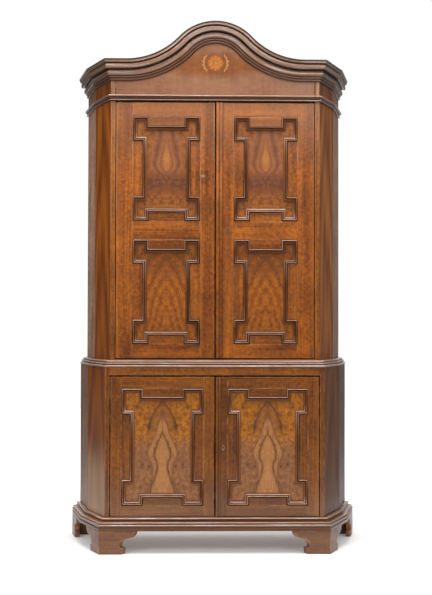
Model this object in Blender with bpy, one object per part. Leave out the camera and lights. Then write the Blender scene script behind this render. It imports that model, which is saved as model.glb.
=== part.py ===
"""Two-part walnut sideboard with canted corners, four panelled doors and a bell-arched cornice.

Metres, +Z up, the front faces -Y, and the origin is under the middle of the whole box.
"""
import math
from collections import namedtuple

import bmesh
import bpy
from mathutils import Matrix, Vector

for old in list(bpy.data.objects):
    bpy.data.objects.remove(old, do_unlink=True)

# Fits
GAP = 0.0003            # between pieces that touch
DOOR_SIDE_GAP = 0.002   # door edge to corner post
DOOR_END_GAP = 0.002    # door to the boards above and below
MEETING_GAP = 0.002     # between a pair of doors
SEAT_FIT = 0.0006       # upper case inside the rim of the waist moulding

# Plan of the upper case: half front, canted corner, flared side
FRONT_HALF = 0.498
CANT_ANGLE = math.radians(64.4)
CANT_RUN = 0.208
SIDE_ANGLE = math.radians(76.2)
BODY_DEPTH = 0.425
LOWER_OUT = 0.032       # lower case stands this far outside the upper one

# Heights, from the floor up
FOOT_HEIGHT = 0.108
BASE_HEIGHT = 0.057
LOWER_HEIGHT = 0.706
WAIST_SEAT = 0.014
WAIST_HEIGHT = 0.034
UPPER_HEIGHT = 1.254
ARCHITRAVE_HEIGHT = 0.029
FRIEZE_HEIGHT = 0.0655
CORNICE_HEIGHT = 0.098
ARCH_RISE = 0.182

# The bell arch of the cornice: half its width, and where it turns from hollow to round
ARCH_HALF = 0.425
ARCH_TURN = 0.172
ARCH_STEPS = 12

# How far the mouldings stand out from the face that they run along
BASE_OUT = 0.040
WAIST_OUT = 0.035
ARCHITRAVE_OUT = 0.016
CORNICE_OUT = 0.047

# Board thicknesses
POST_T = 0.024
SIDE_T = 0.020
BACK_T = 0.012
BOTTOM_T = 0.022
UPPER_BOTTOM_T = 0.024
SHELF_T = 0.018
FRIEZE_T = 0.020
FRIEZE_GROOVE = 0.0045  # groove that parts the end strips from the middle of the frieze
CROWN_RAIL_T = 0.020
BASE_DEPTH = 0.062      # base run, inwards from the face of the lower case
RAIL_HEIGHT = 0.038
RAIL_DEPTH = 0.050

# Bracket feet
FOOT_T = 0.024
FOOT_SETBACK = 0.0015   # foot face behind the widest line of the base moulding
FRONT_LEG = 0.112       # out to the beak on the inner edge of the bracket
CANT_LEG = 0.114
REAR_LEG = 0.100
REAR_BLOCK = 0.095
BEAK_HEIGHT = 0.030     # above the floor
BEAK_FLARE = 0.005      # past the sole of the foot
BEAK_BITE = 0.018       # cut in above the beak
BITE_HEIGHT = 0.004
HOLLOW_WIDTH = 0.032    # the hollow that follows, and the round that ends under the base
HOLLOW_HEIGHT = 0.037
ROUND_WIDTH = 0.041
BRACKET_STEPS = 5

# Doors
STILE_FACE = 0.022      # width of the post that shows beside a door
DOOR_T = 0.024
PANEL_SETBACK = 0.006
PANEL_T = 0.010
PANEL_LAP = 0.008
SHELF_SETBACK = 0.030   # shelf front behind the doors, clear of locks and bolts
STOP_SETBACK = 0.010    # lower bottom board behind the doors
BAND_WIDTH = 0.022      # eared moulding
BAND_RISE = 0.016       # its height off the panel
STRIP_RISE = 0.008      # meeting strip off the door face
STRIP_INLET = 0.001

# Pivot pins
PIVOT_INSET = 0.018     # axis from the hinge edge of the door
PIVOT_DEPTH = 0.007     # axis behind the door face
PIN_RADIUS = 0.0035
PIN_IN_DOOR = 0.024
PIN_IN_BOARD = 0.014
PIN_SIDES = 20

# Box lock inside each right-hand door
LOCK_HEIGHT = 0.060
LOCK_DEPTH = 0.016
LOCK_WALL = 0.004
LOCK_MARGIN = 0.004
LOCK_BOLT_HEIGHT = 0.018
KEYHOLE_RADIUS = 0.003
KEYHOLE_SLOT = 0.009

# Flush bolt inside each left-hand door
BOLT_RADIUS = 0.004
BOLT_LENGTH = 0.090
BOLT_INSET = 0.024
BOLT_THROW = 0.012
KNOB_RADIUS = 0.004
KNOB_REACH = 0.010
KNOB_DROP = 0.050       # knob below the top of the bolt

# A pair of doors; the keyhole's height is measured from the middle of the door
DoorSet = namedtuple("DoorSet", "name front half bottom top hinge_stile left_stile right_stile rails "
                     "ear_width ear_height side_notch top_notch bottom_notch strip key_inset key_height")

# Levels and planes that follow from the sizes above
Z_LOWER = FOOT_HEIGHT + BASE_HEIGHT
Z_WAIST = Z_LOWER + LOWER_HEIGHT
Z_SEAT = Z_WAIST + WAIST_SEAT
Z_SILL = Z_SEAT + UPPER_BOTTOM_T
Z_ARCHITRAVE = Z_SEAT + UPPER_HEIGHT
Z_FRIEZE = Z_ARCHITRAVE + ARCHITRAVE_HEIGHT
Z_CORNICE = Z_FRIEZE + FRIEZE_HEIGHT
Z_CORNICE_TOP = Z_CORNICE + CORNICE_HEIGHT
WIDEST = max(LOWER_OUT + BASE_OUT, CORNICE_OUT, WAIST_OUT)
FRONT_Y = WIDEST - (BODY_DEPTH + WIDEST) / 2
BACK_Y = FRONT_Y + BODY_DEPTH
LOWER_FRONT = FRONT_Y - LOWER_OUT
HANDS = (("left", -1), ("right", 1))

UPPER_DOORS = DoorSet(
    name="upper", front=FRONT_Y, half=FRONT_HALF - STILE_FACE,
    bottom=Z_SILL + DOOR_END_GAP, top=Z_ARCHITRAVE - DOOR_END_GAP,
    hinge_stile=0.081, left_stile=0.071, right_stile=0.088, rails=(0.069, 0.088, 0.073),
    ear_width=0.077, ear_height=0.117, side_notch=0.046, top_notch=0.044, bottom_notch=0.050,
    strip=0.033, key_inset=0.060, key_height=0.004)


def corner(offset):
    """Front corner of the right half of the plan, moved outwards by offset."""
    return Vector((FRONT_HALF + offset * math.tan(CANT_ANGLE / 2), FRONT_Y - offset))


def shoulder(offset):
    """Where the canted corner meets the side."""
    along = Vector((math.cos(CANT_ANGLE), math.sin(CANT_ANGLE)))
    outward = Vector((along.y, -along.x))
    slip = offset * math.tan((SIDE_ANGLE - CANT_ANGLE) / 2)
    return corner(0) + along * (CANT_RUN + slip) + outward * offset


def tail(offset, y=BACK_Y):
    """Where the side meets a line across the plan, by default the back."""
    start = shoulder(offset)
    return Vector((start.x + (y - start.y) / math.tan(SIDE_ANGLE), y))


def edge_at(offset, y):
    """Point of the plan's right edge at depth y."""
    front = corner(offset)
    if y >= shoulder(offset).y:
        return tail(offset, y)
    return Vector((front.x + (y - front.y) / math.tan(CANT_ANGLE), y))


def slid(point, angle, distance):
    """A plan point moved along a direction."""
    return point + Vector((math.cos(angle), math.sin(angle))) * distance


def both_halves(points):
    """Right-hand points, front to back, completed to a closed symmetric outline."""
    return [*points, *[Vector((-p.x, p.y)) for p in reversed(points)]]


def handed(points, hand):
    return [Vector((hand * p.x, p.y)) for p in points]


LOWER_DOORS = DoorSet(
    name="lower", front=LOWER_FRONT, half=corner(LOWER_OUT).x - STILE_FACE,
    bottom=Z_LOWER + DOOR_END_GAP, top=Z_WAIST - RAIL_HEIGHT - DOOR_END_GAP,
    hinge_stile=0.054, left_stile=0.053, right_stile=0.059, rails=(0.054, 0.059),
    ear_width=0.102, ear_height=0.123, side_notch=0.039, top_notch=0.038, bottom_notch=0.051,
    strip=0.025, key_inset=0.039, key_height=-0.004)

WALNUT = ((0.27, 0.11, 0.035), 0.32, 0.0)
WALNUT_DARK = ((0.11, 0.048, 0.022), 0.30, 0.0)
WALNUT_FIGURED = ((0.36, 0.17, 0.055), 0.28, 0.0)
INNER_WOOD = ((0.42, 0.28, 0.15), 0.60, 0.0)
IRON = ((0.09, 0.085, 0.08), 0.50, 1.0)
BRASS = ((0.55, 0.40, 0.17), 0.38, 1.0)

PARTS = bpy.data.collections.new("two_part_sideboard")
CUTTERS = bpy.data.collections.new("cutters")
bpy.context.scene.collection.children.link(PARTS)
bpy.context.scene.collection.children.link(CUTTERS)


def add_piece(name, bm, finish):
    """Turns a bmesh into a named part with its own material, or into a cutter without a finish."""
    bmesh.ops.recalc_face_normals(bm, faces=bm.faces)
    mesh = bpy.data.meshes.new(name)
    bm.to_mesh(mesh)
    bm.free()
    piece = bpy.data.objects.new(name, mesh)
    if finish is None:
        CUTTERS.objects.link(piece)
        piece.hide_render = True
        piece.display_type = "WIRE"
        return piece
    PARTS.objects.link(piece)
    colour, roughness, metallic = finish
    material = bpy.data.materials.new(name)
    material.use_nodes = True
    shader = material.node_tree.nodes["Principled BSDF"]
    shader.inputs["Base Color"].default_value = (*colour, 1.0)
    shader.inputs["Roughness"].default_value = roughness
    shader.inputs["Metallic"].default_value = metallic
    mesh.materials.append(material)
    return piece


def loft(name, sections, finish, closed=False):
    """Skins sections of equal point count. An open run is capped at both ends."""
    bm = bmesh.new()
    rings = [[bm.verts.new(point) for point in section] for section in sections]
    if closed:
        rings.append(rings[0])
    else:
        bm.faces.new(rings[0])
        bm.faces.new(rings[-1])
    for ring, following in zip(rings, rings[1:]):
        for i in range(len(ring)):
            bm.faces.new((ring[i - 1], ring[i], following[i], following[i - 1]))
    return add_piece(name, bm, finish)


def stack(name, levels, finish):
    """A solid from plan outlines at rising heights, given as (height, outline)."""
    return loft(name, [[(p.x, p.y, z) for p in outline] for z, outline in levels], finish)


def board(name, outline, low, high, finish):
    """A flat board with a plan outline."""
    return stack(name, [(low, outline), (high, outline)], finish)


def box(name, low, high, finish):
    bm = bmesh.new()
    bmesh.ops.create_cube(bm, size=1.0)
    low, high = Vector(low), Vector(high)
    bmesh.ops.scale(bm, vec=high - low, verts=bm.verts)
    bmesh.ops.translate(bm, vec=(low + high) / 2, verts=bm.verts)
    return add_piece(name, bm, finish)


def rod(name, start, end, radius, finish):
    """A round bar between two points."""
    start, end = Vector(start), Vector(end)
    bm = bmesh.new()
    bmesh.ops.create_cone(bm, cap_ends=True, segments=PIN_SIDES, radius1=radius, radius2=radius,
                          depth=(end - start).length)
    turn = (end - start).to_track_quat("Z", "Y").to_matrix()
    bmesh.ops.rotate(bm, cent=(0, 0, 0), matrix=turn, verts=bm.verts)
    bmesh.ops.translate(bm, vec=(start + end) / 2, verts=bm.verts)
    return add_piece(name, bm, finish)


def upright(name, outline, front, back, finish):
    """A solid with an outline in X and Z, between two planes across the depth."""
    return loft(name, [[(p.x, y, p.y) for p in outline] for y in (front, back)], finish)


def combine(piece, tool, operation):
    step = piece.modifiers.new(tool.name, "BOOLEAN")
    step.operation = operation
    step.object = tool


def cut(piece, cutter):
    combine(piece, cutter, "DIFFERENCE")


def pivot_empty(name, location, parent=None):
    """An empty on a joint axis, which carries the pieces that move about it."""
    empty = bpy.data.objects.new(name, None)
    PARTS.objects.link(empty)
    empty.empty_display_size = 0.05
    empty.location = location
    if parent:
        empty.parent = parent
        empty.matrix_parent_inverse = Matrix.Translation(parent.location).inverted()
    return empty


def hang(piece, empty):
    """Parents a piece to an empty without moving it."""
    piece.parent = empty
    piece.matrix_parent_inverse = Matrix.Translation(empty.location).inverted()


def quarter(start, end, first, steps=4):
    """Points of an elliptic quarter after start, which sets off outwards ("out") or upwards ("up")."""
    points = []
    for i in range(1, steps + 1):
        turn = math.pi / 2 * i / steps
        fast, slow = math.sin(turn), 1 - math.cos(turn)
        out, up = (fast, slow) if first == "out" else (slow, fast)
        points.append((start[0] + (end[0] - start[0]) * out, start[1] + (end[1] - start[1]) * up))
    return points


def sized(profile, out, up):
    """A moulding profile drawn in a unit square, brought to its real projection and height."""
    return [(out * x, up * z) for x, z in profile]


# Moulding profiles in unit squares, from the foot of the moulding up
BASE_PROFILE = [
    (0.97, 0.0), (0.97, 0.25), (0.90, 0.28), (0.90, 0.335),
    *quarter((0.90, 0.335), (1.0, 0.42), "out", 3), *quarter((1.0, 0.42), (0.90, 0.51), "up", 3),
    (0.82, 0.525), (0.82, 0.565), *quarter((0.82, 0.565), (0.89, 0.63), "out", 2),
    *quarter((0.89, 0.63), (0.76, 0.70), "up", 3), (0.68, 0.71),
    *quarter((0.68, 0.71), (0.30, 0.86), "out", 3), (0.40, 0.87),
    *quarter((0.40, 0.87), (0.47, 0.93), "out", 2), *quarter((0.47, 0.93), (0.32, 1.0), "up", 3)]
WAIST_PROFILE = [
    (0.86, 0.0), (0.93, 0.02), *quarter((0.93, 0.02), (1.0, 0.13), "out", 3),
    *quarter((1.0, 0.13), (0.86, 0.28), "up", 3), (0.75, 0.33), (0.75, 0.40), (0.80, 0.43), (0.79, 0.58),
    (0.58, 0.64), (0.56, 0.70), (0.60, 0.73), *quarter((0.60, 0.73), (0.40, 0.92), "up", 3), (0.18, 1.0)]
ARCHITRAVE_PROFILE = [
    (0.10, 0.0), (0.42, 0.04), *quarter((0.42, 0.04), (0.55, 0.13), "out", 2),
    *quarter((0.55, 0.13), (0.44, 0.22), "up", 2), (0.36, 0.26), *quarter((0.36, 0.26), (0.86, 0.64), "up"),
    (0.94, 0.67), *quarter((0.94, 0.67), (1.0, 0.78), "out", 2), *quarter((1.0, 0.78), (0.86, 0.90), "up", 2),
    (0.20, 1.0)]
CORNICE_PROFILE = [
    (0.06, 0.0), (0.14, 0.03), (0.16, 0.05), (0.16, 0.13), (0.10, 0.15), (0.14, 0.17),
    *quarter((0.14, 0.17), (0.44, 0.30), "out", 4), *quarter((0.44, 0.30), (0.34, 0.43), "up", 4),
    (0.32, 0.45), (0.71, 0.455), (0.75, 0.47), (0.76, 0.65), (0.71, 0.675), (0.85, 0.69), (0.89, 0.71),
    (0.89, 0.80), (0.84, 0.825), (0.96, 0.84), (1.0, 0.86), (1.0, 0.975), (0.95, 1.0)]

BAND_PROFILE = [
    (0.02, 0.55), *quarter((0.02, 0.55), (0.30, 1.0), "up", 3), (0.48, 0.98), (0.52, 0.72),
    *quarter((0.52, 0.72), (0.90, 0.30), "up", 3), (1.0, 0.25)]


def case_walls(case, offset, low, high):
    """Corner posts, sides and back of one case."""
    opening = corner(offset).x - STILE_FACE
    front = FRONT_Y - offset
    low += GAP
    high -= GAP
    for word, hand in HANDS:
        inner = offset - POST_T
        post = [Vector((opening, front)), corner(offset), shoulder(offset), shoulder(inner),
                corner(inner), Vector((opening, front + POST_T))]
        board(f"{case}_{word}_post", handed(post, hand), low, high, WALNUT)
        lining = offset - SIDE_T
        side = [slid(shoulder(offset), SIDE_ANGLE, GAP), tail(offset), tail(lining),
                slid(shoulder(lining), SIDE_ANGLE, GAP)]
        board(f"{case}_{word}_side", handed(side, hand), low, high, WALNUT)
    reach = offset - SIDE_T - GAP
    back = both_halves([tail(reach, BACK_Y - BACK_T), tail(reach)])
    board(f"{case}_back", back, low, high, INNER_WOOD)


def shelf(name, offset, setback, low, high):
    """A loose board inside the walls, its front edge behind the doors."""
    reach = offset - POST_T - GAP
    front = FRONT_Y - offset + DOOR_T + setback
    rear = BACK_Y - BACK_T - GAP
    outline = both_halves([edge_at(reach, front), shoulder(reach), tail(reach, rear)])
    board(name, outline, low, high, INNER_WOOD)


def moulded_board(name, profile, offset, low, finish):
    """A board over the whole plan, with a moulding worked on its front, canted and side edges."""
    levels = []
    for out, up in profile:
        reach = offset + out
        levels.append((low + up, both_halves([corner(reach), shoulder(reach), tail(reach)])))
    return stack(name, levels, finish)


def bracket_edge(leg):
    """Inner edge of a bracket foot as (length, height): a beaked leg, a hollow, a round up to the base."""
    bite = (leg - BEAK_BITE, BEAK_HEIGHT + BITE_HEIGHT)
    turn = (bite[0] + HOLLOW_WIDTH, bite[1] + HOLLOW_HEIGHT)
    top = (turn[0] + ROUND_WIDTH, FOOT_HEIGHT - GAP)
    return [(leg - BEAK_FLARE, 0.0), (leg, BEAK_HEIGHT), bite, *quarter(bite, turn, "up", BRACKET_STEPS),
            *quarter(turn, top, "out", BRACKET_STEPS)]


def build_feet():
    reach = LOWER_OUT + BASE_OUT - FOOT_SETBACK
    inner = reach - FOOT_T
    for word, hand in HANDS:
        front_levels, rear_levels = [], []
        for (ahead, rise), (along, _) in zip(bracket_edge(FRONT_LEG), bracket_edge(CANT_LEG)):
            inwards = Vector((ahead, 0))
            front_levels.append((rise, handed([
                corner(reach) - inwards, corner(reach), slid(corner(reach), CANT_ANGLE, along),
                slid(corner(inner), CANT_ANGLE, along), corner(inner), corner(inner) - inwards], hand)))
        for along, rise in bracket_edge(REAR_LEG):
            heel = tail(reach) - Vector((REAR_BLOCK, 0))
            rear_levels.append((rise, handed([
                slid(tail(reach), SIDE_ANGLE, -along), tail(reach), heel, heel - Vector((0, FOOT_T)),
                tail(inner, BACK_Y - FOOT_T), slid(tail(inner), SIDE_ANGLE, -along)], hand)))
        stack(f"front_{word}_foot", front_levels, WALNUT)
        stack(f"rear_{word}_foot", rear_levels, WALNUT)


def build_base():
    """Three mitred runs, with the base moulding on their outer edges."""
    profile = sized(BASE_PROFILE, BASE_OUT, BASE_HEIGHT)
    inner = LOWER_OUT - BASE_DEPTH
    front_levels = []
    for out, up in profile:
        face = corner(LOWER_OUT + out)
        front_levels.append((FOOT_HEIGHT + up, both_halves([face, corner(inner)])))
    front = stack("base_front", front_levels, WALNUT_DARK)
    for word, hand in HANDS:
        levels = []
        for out, up in profile:
            reach = LOWER_OUT + out
            outline = [slid(corner(reach), CANT_ANGLE, GAP), shoulder(reach), tail(reach),
                       tail(inner), shoulder(inner), slid(corner(inner), CANT_ANGLE, GAP)]
            levels.append((FOOT_HEIGHT + up, handed(outline, hand)))
        stack(f"base_{word}", levels, WALNUT_DARK)
    return front


def build_lower_case():
    case_walls("lower", LOWER_OUT, Z_LOWER, Z_WAIST)
    shelf("lower_bottom", LOWER_OUT, STOP_SETBACK, Z_LOWER + GAP, Z_LOWER + BOTTOM_T)
    middle = (Z_LOWER + BOTTOM_T + Z_WAIST) / 2
    shelf("lower_shelf", LOWER_OUT, SHELF_SETBACK, middle, middle + SHELF_T)
    half = LOWER_DOORS.half - GAP
    rail = box("lower_rail", (-half, LOWER_FRONT, Z_WAIST - RAIL_HEIGHT),
               (half, LOWER_FRONT + RAIL_DEPTH, Z_WAIST - GAP), WALNUT)
    top = moulded_board("lower_top", sized(WAIST_PROFILE, WAIST_OUT, WAIST_HEIGHT), 0, Z_WAIST, WALNUT_DARK)
    seat = both_halves([corner(SEAT_FIT), shoulder(SEAT_FIT), tail(SEAT_FIT, BACK_Y + SEAT_FIT)])
    cut(top, board("upper_case_seat", seat, Z_SEAT, Z_SEAT + WAIST_HEIGHT, None))
    return rail


def build_upper_case():
    case_walls("upper", 0, Z_SEAT, Z_ARCHITRAVE)
    reach = -POST_T - GAP
    tongue = UPPER_DOORS.half - GAP
    outline = both_halves([Vector((tongue, FRONT_Y)), Vector((tongue, FRONT_Y + POST_T + GAP)),
                           corner(reach), shoulder(reach), tail(reach, BACK_Y - BACK_T - GAP)])
    bottom = board("upper_bottom", outline, Z_SEAT + GAP, Z_SILL, WALNUT)
    for i, word in enumerate(("low", "high"), start=1):
        z = Z_SILL + (Z_ARCHITRAVE - Z_SILL) * i / 3
        shelf(f"upper_shelf_{word}", 0, SHELF_SETBACK, z, z + SHELF_T)
    top = moulded_board("upper_top", sized(ARCHITRAVE_PROFILE, ARCHITRAVE_OUT, ARCHITRAVE_HEIGHT), 0,
                        Z_ARCHITRAVE, WALNUT_DARK)
    return bottom, top


def arch_line():
    """Points (x, rise, lean) of the bell arch from its left foot to its right foot, in two arcs a side.

    Lean is the slope angle, so a moulding's own height stands square to the curve.
    """
    radii = (ARCH_HALF ** 2 + ARCH_RISE ** 2) / (2 * ARCH_RISE)
    crown_radius = radii * ARCH_TURN / ARCH_HALF
    foot_radius = radii - crown_radius
    steepest = math.asin(ARCH_HALF / radii)
    right = []
    for i in range(ARCH_STEPS + 1):
        turn = steepest * i / ARCH_STEPS
        right.append((crown_radius * math.sin(turn), ARCH_RISE - crown_radius * (1 - math.cos(turn)), -turn))
    for i in range(ARCH_STEPS - 1, -1, -1):
        turn = steepest * i / ARCH_STEPS
        right.append((ARCH_HALF - foot_radius * math.sin(turn), foot_radius * (1 - math.cos(turn)), -turn))
    left = [(-x, rise, -lean) for x, rise, lean in reversed(right[1:])]
    return left + right


def build_crown():
    """Bell-topped frieze, arched cornice, returns round the canted corners and a rear rail."""
    profile = sized(CORNICE_PROFILE, CORNICE_OUT, CORNICE_HEIGHT)
    low = Z_FRIEZE + GAP
    rear = FRONT_Y + FRIEZE_T

    def frieze_section(face_x, rear_x, rise):
        top = Z_CORNICE_TOP + rise
        return [(face_x, FRONT_Y, low), (face_x, FRONT_Y, top), (rear_x, rear, top), (rear_x, rear, low)]

    end = frieze_section(corner(0).x, corner(-FRIEZE_T).x, 0)
    sections = [[(-x, y, z) for x, y, z in end]]
    sections += [frieze_section(x, x, rise) for x, rise, lean in arch_line()]
    frieze = loft("frieze_board", [*sections, end], WALNUT)
    for word, hand in HANDS:
        edges = sorted(hand * (UPPER_DOORS.half + side * FRIEZE_GROOVE / 2) for side in (-1, 1))
        groove = box(f"frieze_{word}_groove", (edges[0], FRONT_Y - FRIEZE_GROOVE, low - GAP),
                     (edges[1], FRONT_Y + FRIEZE_GROOVE, Z_CORNICE), None)
        cut(frieze, groove)

    ring = [(GAP, 0.0), *profile, (GAP, CORNICE_HEIGHT)]
    mitre = [(corner(out).x, FRONT_Y - out, Z_CORNICE + up) for out, up in ring]
    sections = [[(-x, y, z) for x, y, z in mitre]]
    for x, rise, lean in arch_line():
        sections.append([(x + (CORNICE_HEIGHT - up) * math.sin(lean), FRONT_Y - out,
                          Z_CORNICE_TOP + rise - (CORNICE_HEIGHT - up) * math.cos(lean)) for out, up in ring])
    loft("cornice_front", [*sections, mitre], WALNUT_DARK)

    for word, hand in HANDS:
        levels = []
        inner = -FRIEZE_T
        for out, up in [(0.0, low - Z_CORNICE), (0.0, 0.0), *profile[1:]]:
            outline = [slid(corner(out), CANT_ANGLE, GAP), shoulder(out), tail(out),
                       tail(inner), shoulder(inner), slid(corner(inner), CANT_ANGLE, GAP)]
            levels.append((Z_CORNICE + up, handed(outline, hand)))
        stack(f"crown_{word}_return", levels, WALNUT)
    reach = -FRIEZE_T - GAP
    rail = both_halves([tail(reach, BACK_Y - CROWN_RAIL_T), tail(reach)])
    board("crown_rear_rail", rail, low, Z_CORNICE, INNER_WOOD)


def eared_path(left, right, low, high, doors):
    """Rectangle whose sides step inwards between four ears, anticlockwise seen from the front."""
    wide, tall = doors.ear_width, doors.ear_height
    inset, upper, lower = doors.side_notch, doors.top_notch, doors.bottom_notch
    return [Vector(p) for p in (
        (left, low), (left + wide, low), (left + wide, low + lower), (right - wide, low + lower),
        (right - wide, low), (right, low), (right, low + tall), (right - inset, low + tall),
        (right - inset, high - tall), (right, high - tall), (right, high), (right - wide, high),
        (right - wide, high - upper), (left + wide, high - upper), (left + wide, high), (left, high),
        (left, high - tall), (left + inset, high - tall), (left + inset, low + tall), (left, low + tall))]


def eared_moulding(name, path, base_y):
    """A raised moulding mitred round an eared path, inside its edge."""
    profile = [(GAP, 0.0), *sized(BAND_PROFILE, BAND_WIDTH, BAND_RISE), (BAND_WIDTH, 0.0)]
    sections = []
    for i, here in enumerate(path):
        before = (here - path[i - 1]).normalized()
        after = (path[(i + 1) % len(path)] - here).normalized()
        inward = Vector((-before.y - after.y, before.x + after.x))
        sections.append([(here.x + inward.x * run, base_y - rise, here.y + inward.y * run)
                         for run, rise in profile])
    return loft(name, sections, WALNUT_DARK, closed=True)


def meeting_strip(doors, edge):
    """Two reeds side by side down the meeting edge of a right-hand door."""
    reed = doors.strip / 2
    outline = [(edge, doors.front + STRIP_INLET)]
    for i in range(2):
        start = (edge + reed * i, doors.front - STRIP_RISE * 0.3)
        crest = (start[0] + reed / 2, doors.front - STRIP_RISE)
        finish = (start[0] + reed, start[1])
        outline += [start, *quarter(start, crest, "up", 3), *quarter(crest, finish, "out", 3)]
    outline.append((edge + doors.strip, doors.front + STRIP_INLET))
    unique = [Vector(p) for i, p in enumerate(outline) if p != outline[i - 1]]
    return board(f"{doors.name}_meeting_strip", unique, doors.bottom, doors.top, None)


def build_lock(doors, frame, edge, pivot):
    """Keyhole, lock case on the back of the stile, and its bolt, drawn back at rest."""
    name = f"{doors.name}_lock"
    key_x = doors.key_inset
    key_z = (doors.bottom + doors.top) / 2 + doors.key_height
    rear = doors.front + DOOR_T
    eye = rod(f"{name}_keyhole", (key_x, doors.front - DOOR_T, key_z), (key_x, rear + DOOR_T, key_z),
              KEYHOLE_RADIUS, None)
    slot_half = KEYHOLE_RADIUS / 2
    slot = box(f"{name}_key_slot", (key_x - slot_half, doors.front - DOOR_T, key_z - KEYHOLE_SLOT),
               (key_x + slot_half, rear + DOOR_T, key_z), None)
    left = edge + LOCK_MARGIN
    right = edge + doors.right_stile - PANEL_LAP - LOCK_MARGIN
    low, high = key_z - LOCK_HEIGHT / 2, key_z + LOCK_HEIGHT / 2
    case = box(f"{name}_case", (left, rear + GAP, low), (right, rear + GAP + LOCK_DEPTH, high), IRON)
    front = rear + GAP + LOCK_WALL
    back = rear + GAP + LOCK_DEPTH - LOCK_WALL
    bolt_low, bolt_high = key_z - LOCK_BOLT_HEIGHT / 2, key_z + LOCK_BOLT_HEIGHT / 2
    stop = right - LOCK_WALL
    pocket = box(f"{name}_pocket", (left - LOCK_WALL, front - GAP, bolt_low - GAP),
                 (stop + GAP, back + GAP, bolt_high + GAP), None)
    bolt = box(f"{name}_bolt", (left, front, bolt_low), (stop, back, bolt_high), BRASS)
    slide = pivot_empty(f"{name}_bolt_slide", ((left + stop) / 2, (front + back) / 2, key_z), pivot)
    for cutter in (eye, slot):
        cut(frame, cutter)
    cut(case, pocket)
    for piece in (eye, slot, pocket, case):
        hang(piece, pivot)
    hang(bolt, slide)


def build_flush_bolt(doors, frame, edge, pivot, above):
    """A round bolt in the left-hand stile, with a knob inside, which shoots up into the board above."""
    name = f"{doors.name}_flush_bolt"
    x = edge - BOLT_INSET
    y = doors.front + DOOR_T / 2
    top = doors.top - GAP
    low = top - BOLT_LENGTH
    knob_z = top - KNOB_DROP
    rear = doors.front + DOOR_T
    bore = rod(f"{name}_bore", (x, y, low - GAP), (x, y, doors.top + DOOR_END_GAP + BOLT_THROW),
               BOLT_RADIUS + GAP, None)
    slot_half = KNOB_RADIUS + GAP
    slot = box(f"{name}_slot", (x - slot_half, y, knob_z - slot_half),
               (x + slot_half, rear + KNOB_REACH, knob_z + slot_half + BOLT_THROW), None)
    bolt = rod(name, (x, y, low), (x, y, top), BOLT_RADIUS, BRASS)
    knob = rod(f"{name}_knob", (x, y, knob_z), (x, rear + KNOB_REACH, knob_z), KNOB_RADIUS, None)
    combine(bolt, knob, "UNION")
    cut(frame, bore)
    cut(frame, slot)
    cut(above, bore)
    slide = pivot_empty(f"{name}_slide", (x, y, knob_z), pivot)
    hang(slot, pivot)
    hang(bolt, slide)
    hang(knob, slide)


def build_door(doors, word, hand, below, above):
    """Frame, panels, eared mouldings, pivot pins and fastening of one door."""
    name = f"{doors.name}_{word}_door"
    hinge_x = hand * (doors.half - DOOR_SIDE_GAP)
    meeting_x = hand * MEETING_GAP / 2
    stile = doors.right_stile if hand > 0 else doors.left_stile
    left, right = sorted((hinge_x - hand * doors.hinge_stile, meeting_x + hand * stile))
    tiers = len(doors.rails) - 1
    panel_height = (doors.top - doors.bottom - sum(doors.rails)) / tiers
    lows = [doors.bottom + sum(doors.rails[:i + 1]) + panel_height * i for i in range(tiers)]
    paths = [eared_path(left, right, low, low + panel_height, doors) for low in lows]

    edges = sorted((hinge_x, meeting_x))
    frame = box(f"{name}_frame", (edges[0], doors.front, doors.bottom),
                (edges[1], doors.front + DOOR_T, doors.top), WALNUT)
    axis = (hinge_x - hand * PIVOT_INSET, doors.front + PIVOT_DEPTH, doors.bottom)
    pivot = pivot_empty(f"{name}_pivot", axis)
    hang(frame, pivot)

    tier_words = ("low", "high") if tiers > 1 else ("",)
    for tier, low, path in zip(tier_words, lows, paths):
        tag = f"{name}_{tier}".rstrip("_")
        seat = doors.front + PANEL_SETBACK
        lap_low = (left - PANEL_LAP, low - PANEL_LAP)
        lap_high = (right + PANEL_LAP, low + panel_height + PANEL_LAP)
        rebate = box(f"{tag}_rebate", (lap_low[0], seat, lap_low[1]),
                     (lap_high[0], doors.front + 2 * DOOR_T, lap_high[1]), None)
        panel = box(f"{tag}_panel", (lap_low[0] + GAP, seat + GAP, lap_low[1] + GAP),
                    (lap_high[0] - GAP, seat + GAP + PANEL_T, lap_high[1] - GAP), WALNUT_FIGURED)
        opening = upright(f"{tag}_opening", path, doors.front - DOOR_T, doors.front + DOOR_T / 2, None)
        cut(frame, rebate)
        cut(frame, opening)
        moulding = eared_moulding(f"{tag}_moulding", path, seat)
        for piece in (rebate, opening, panel, moulding):
            hang(piece, pivot)

    x, y = axis[:2]
    ends = (("bottom", doors.bottom, -1, below), ("top", doors.top, 1, above))
    for end, z, sense, holder in ends:
        tip, root = z + sense * PIN_IN_BOARD, z - sense * PIN_IN_DOOR
        pin = rod(f"{name}_{end}_pin", (x, y, root), (x, y, tip), PIN_RADIUS, IRON)
        bore = rod(f"{name}_{end}_bore", (x, y, root - sense * GAP), (x, y, tip + sense * GAP),
                   PIN_RADIUS + GAP, None)
        cut(frame, bore)
        cut(holder, bore)
        hang(pin, pivot)

    if hand > 0:
        strip = meeting_strip(doors, meeting_x + GAP)
        combine(frame, strip, "UNION")
        hang(strip, pivot)
        build_lock(doors, frame, meeting_x, pivot)
    else:
        build_flush_bolt(doors, frame, meeting_x, pivot, above)


def main():
    build_feet()
    base_front = build_base()
    lower_rail = build_lower_case()
    upper_bottom, upper_top = build_upper_case()
    build_crown()
    for word, hand in HANDS:
        build_door(LOWER_DOORS, word, hand, base_front, lower_rail)
        build_door(UPPER_DOORS, word, hand, upper_bottom, upper_top)


main()
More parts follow.
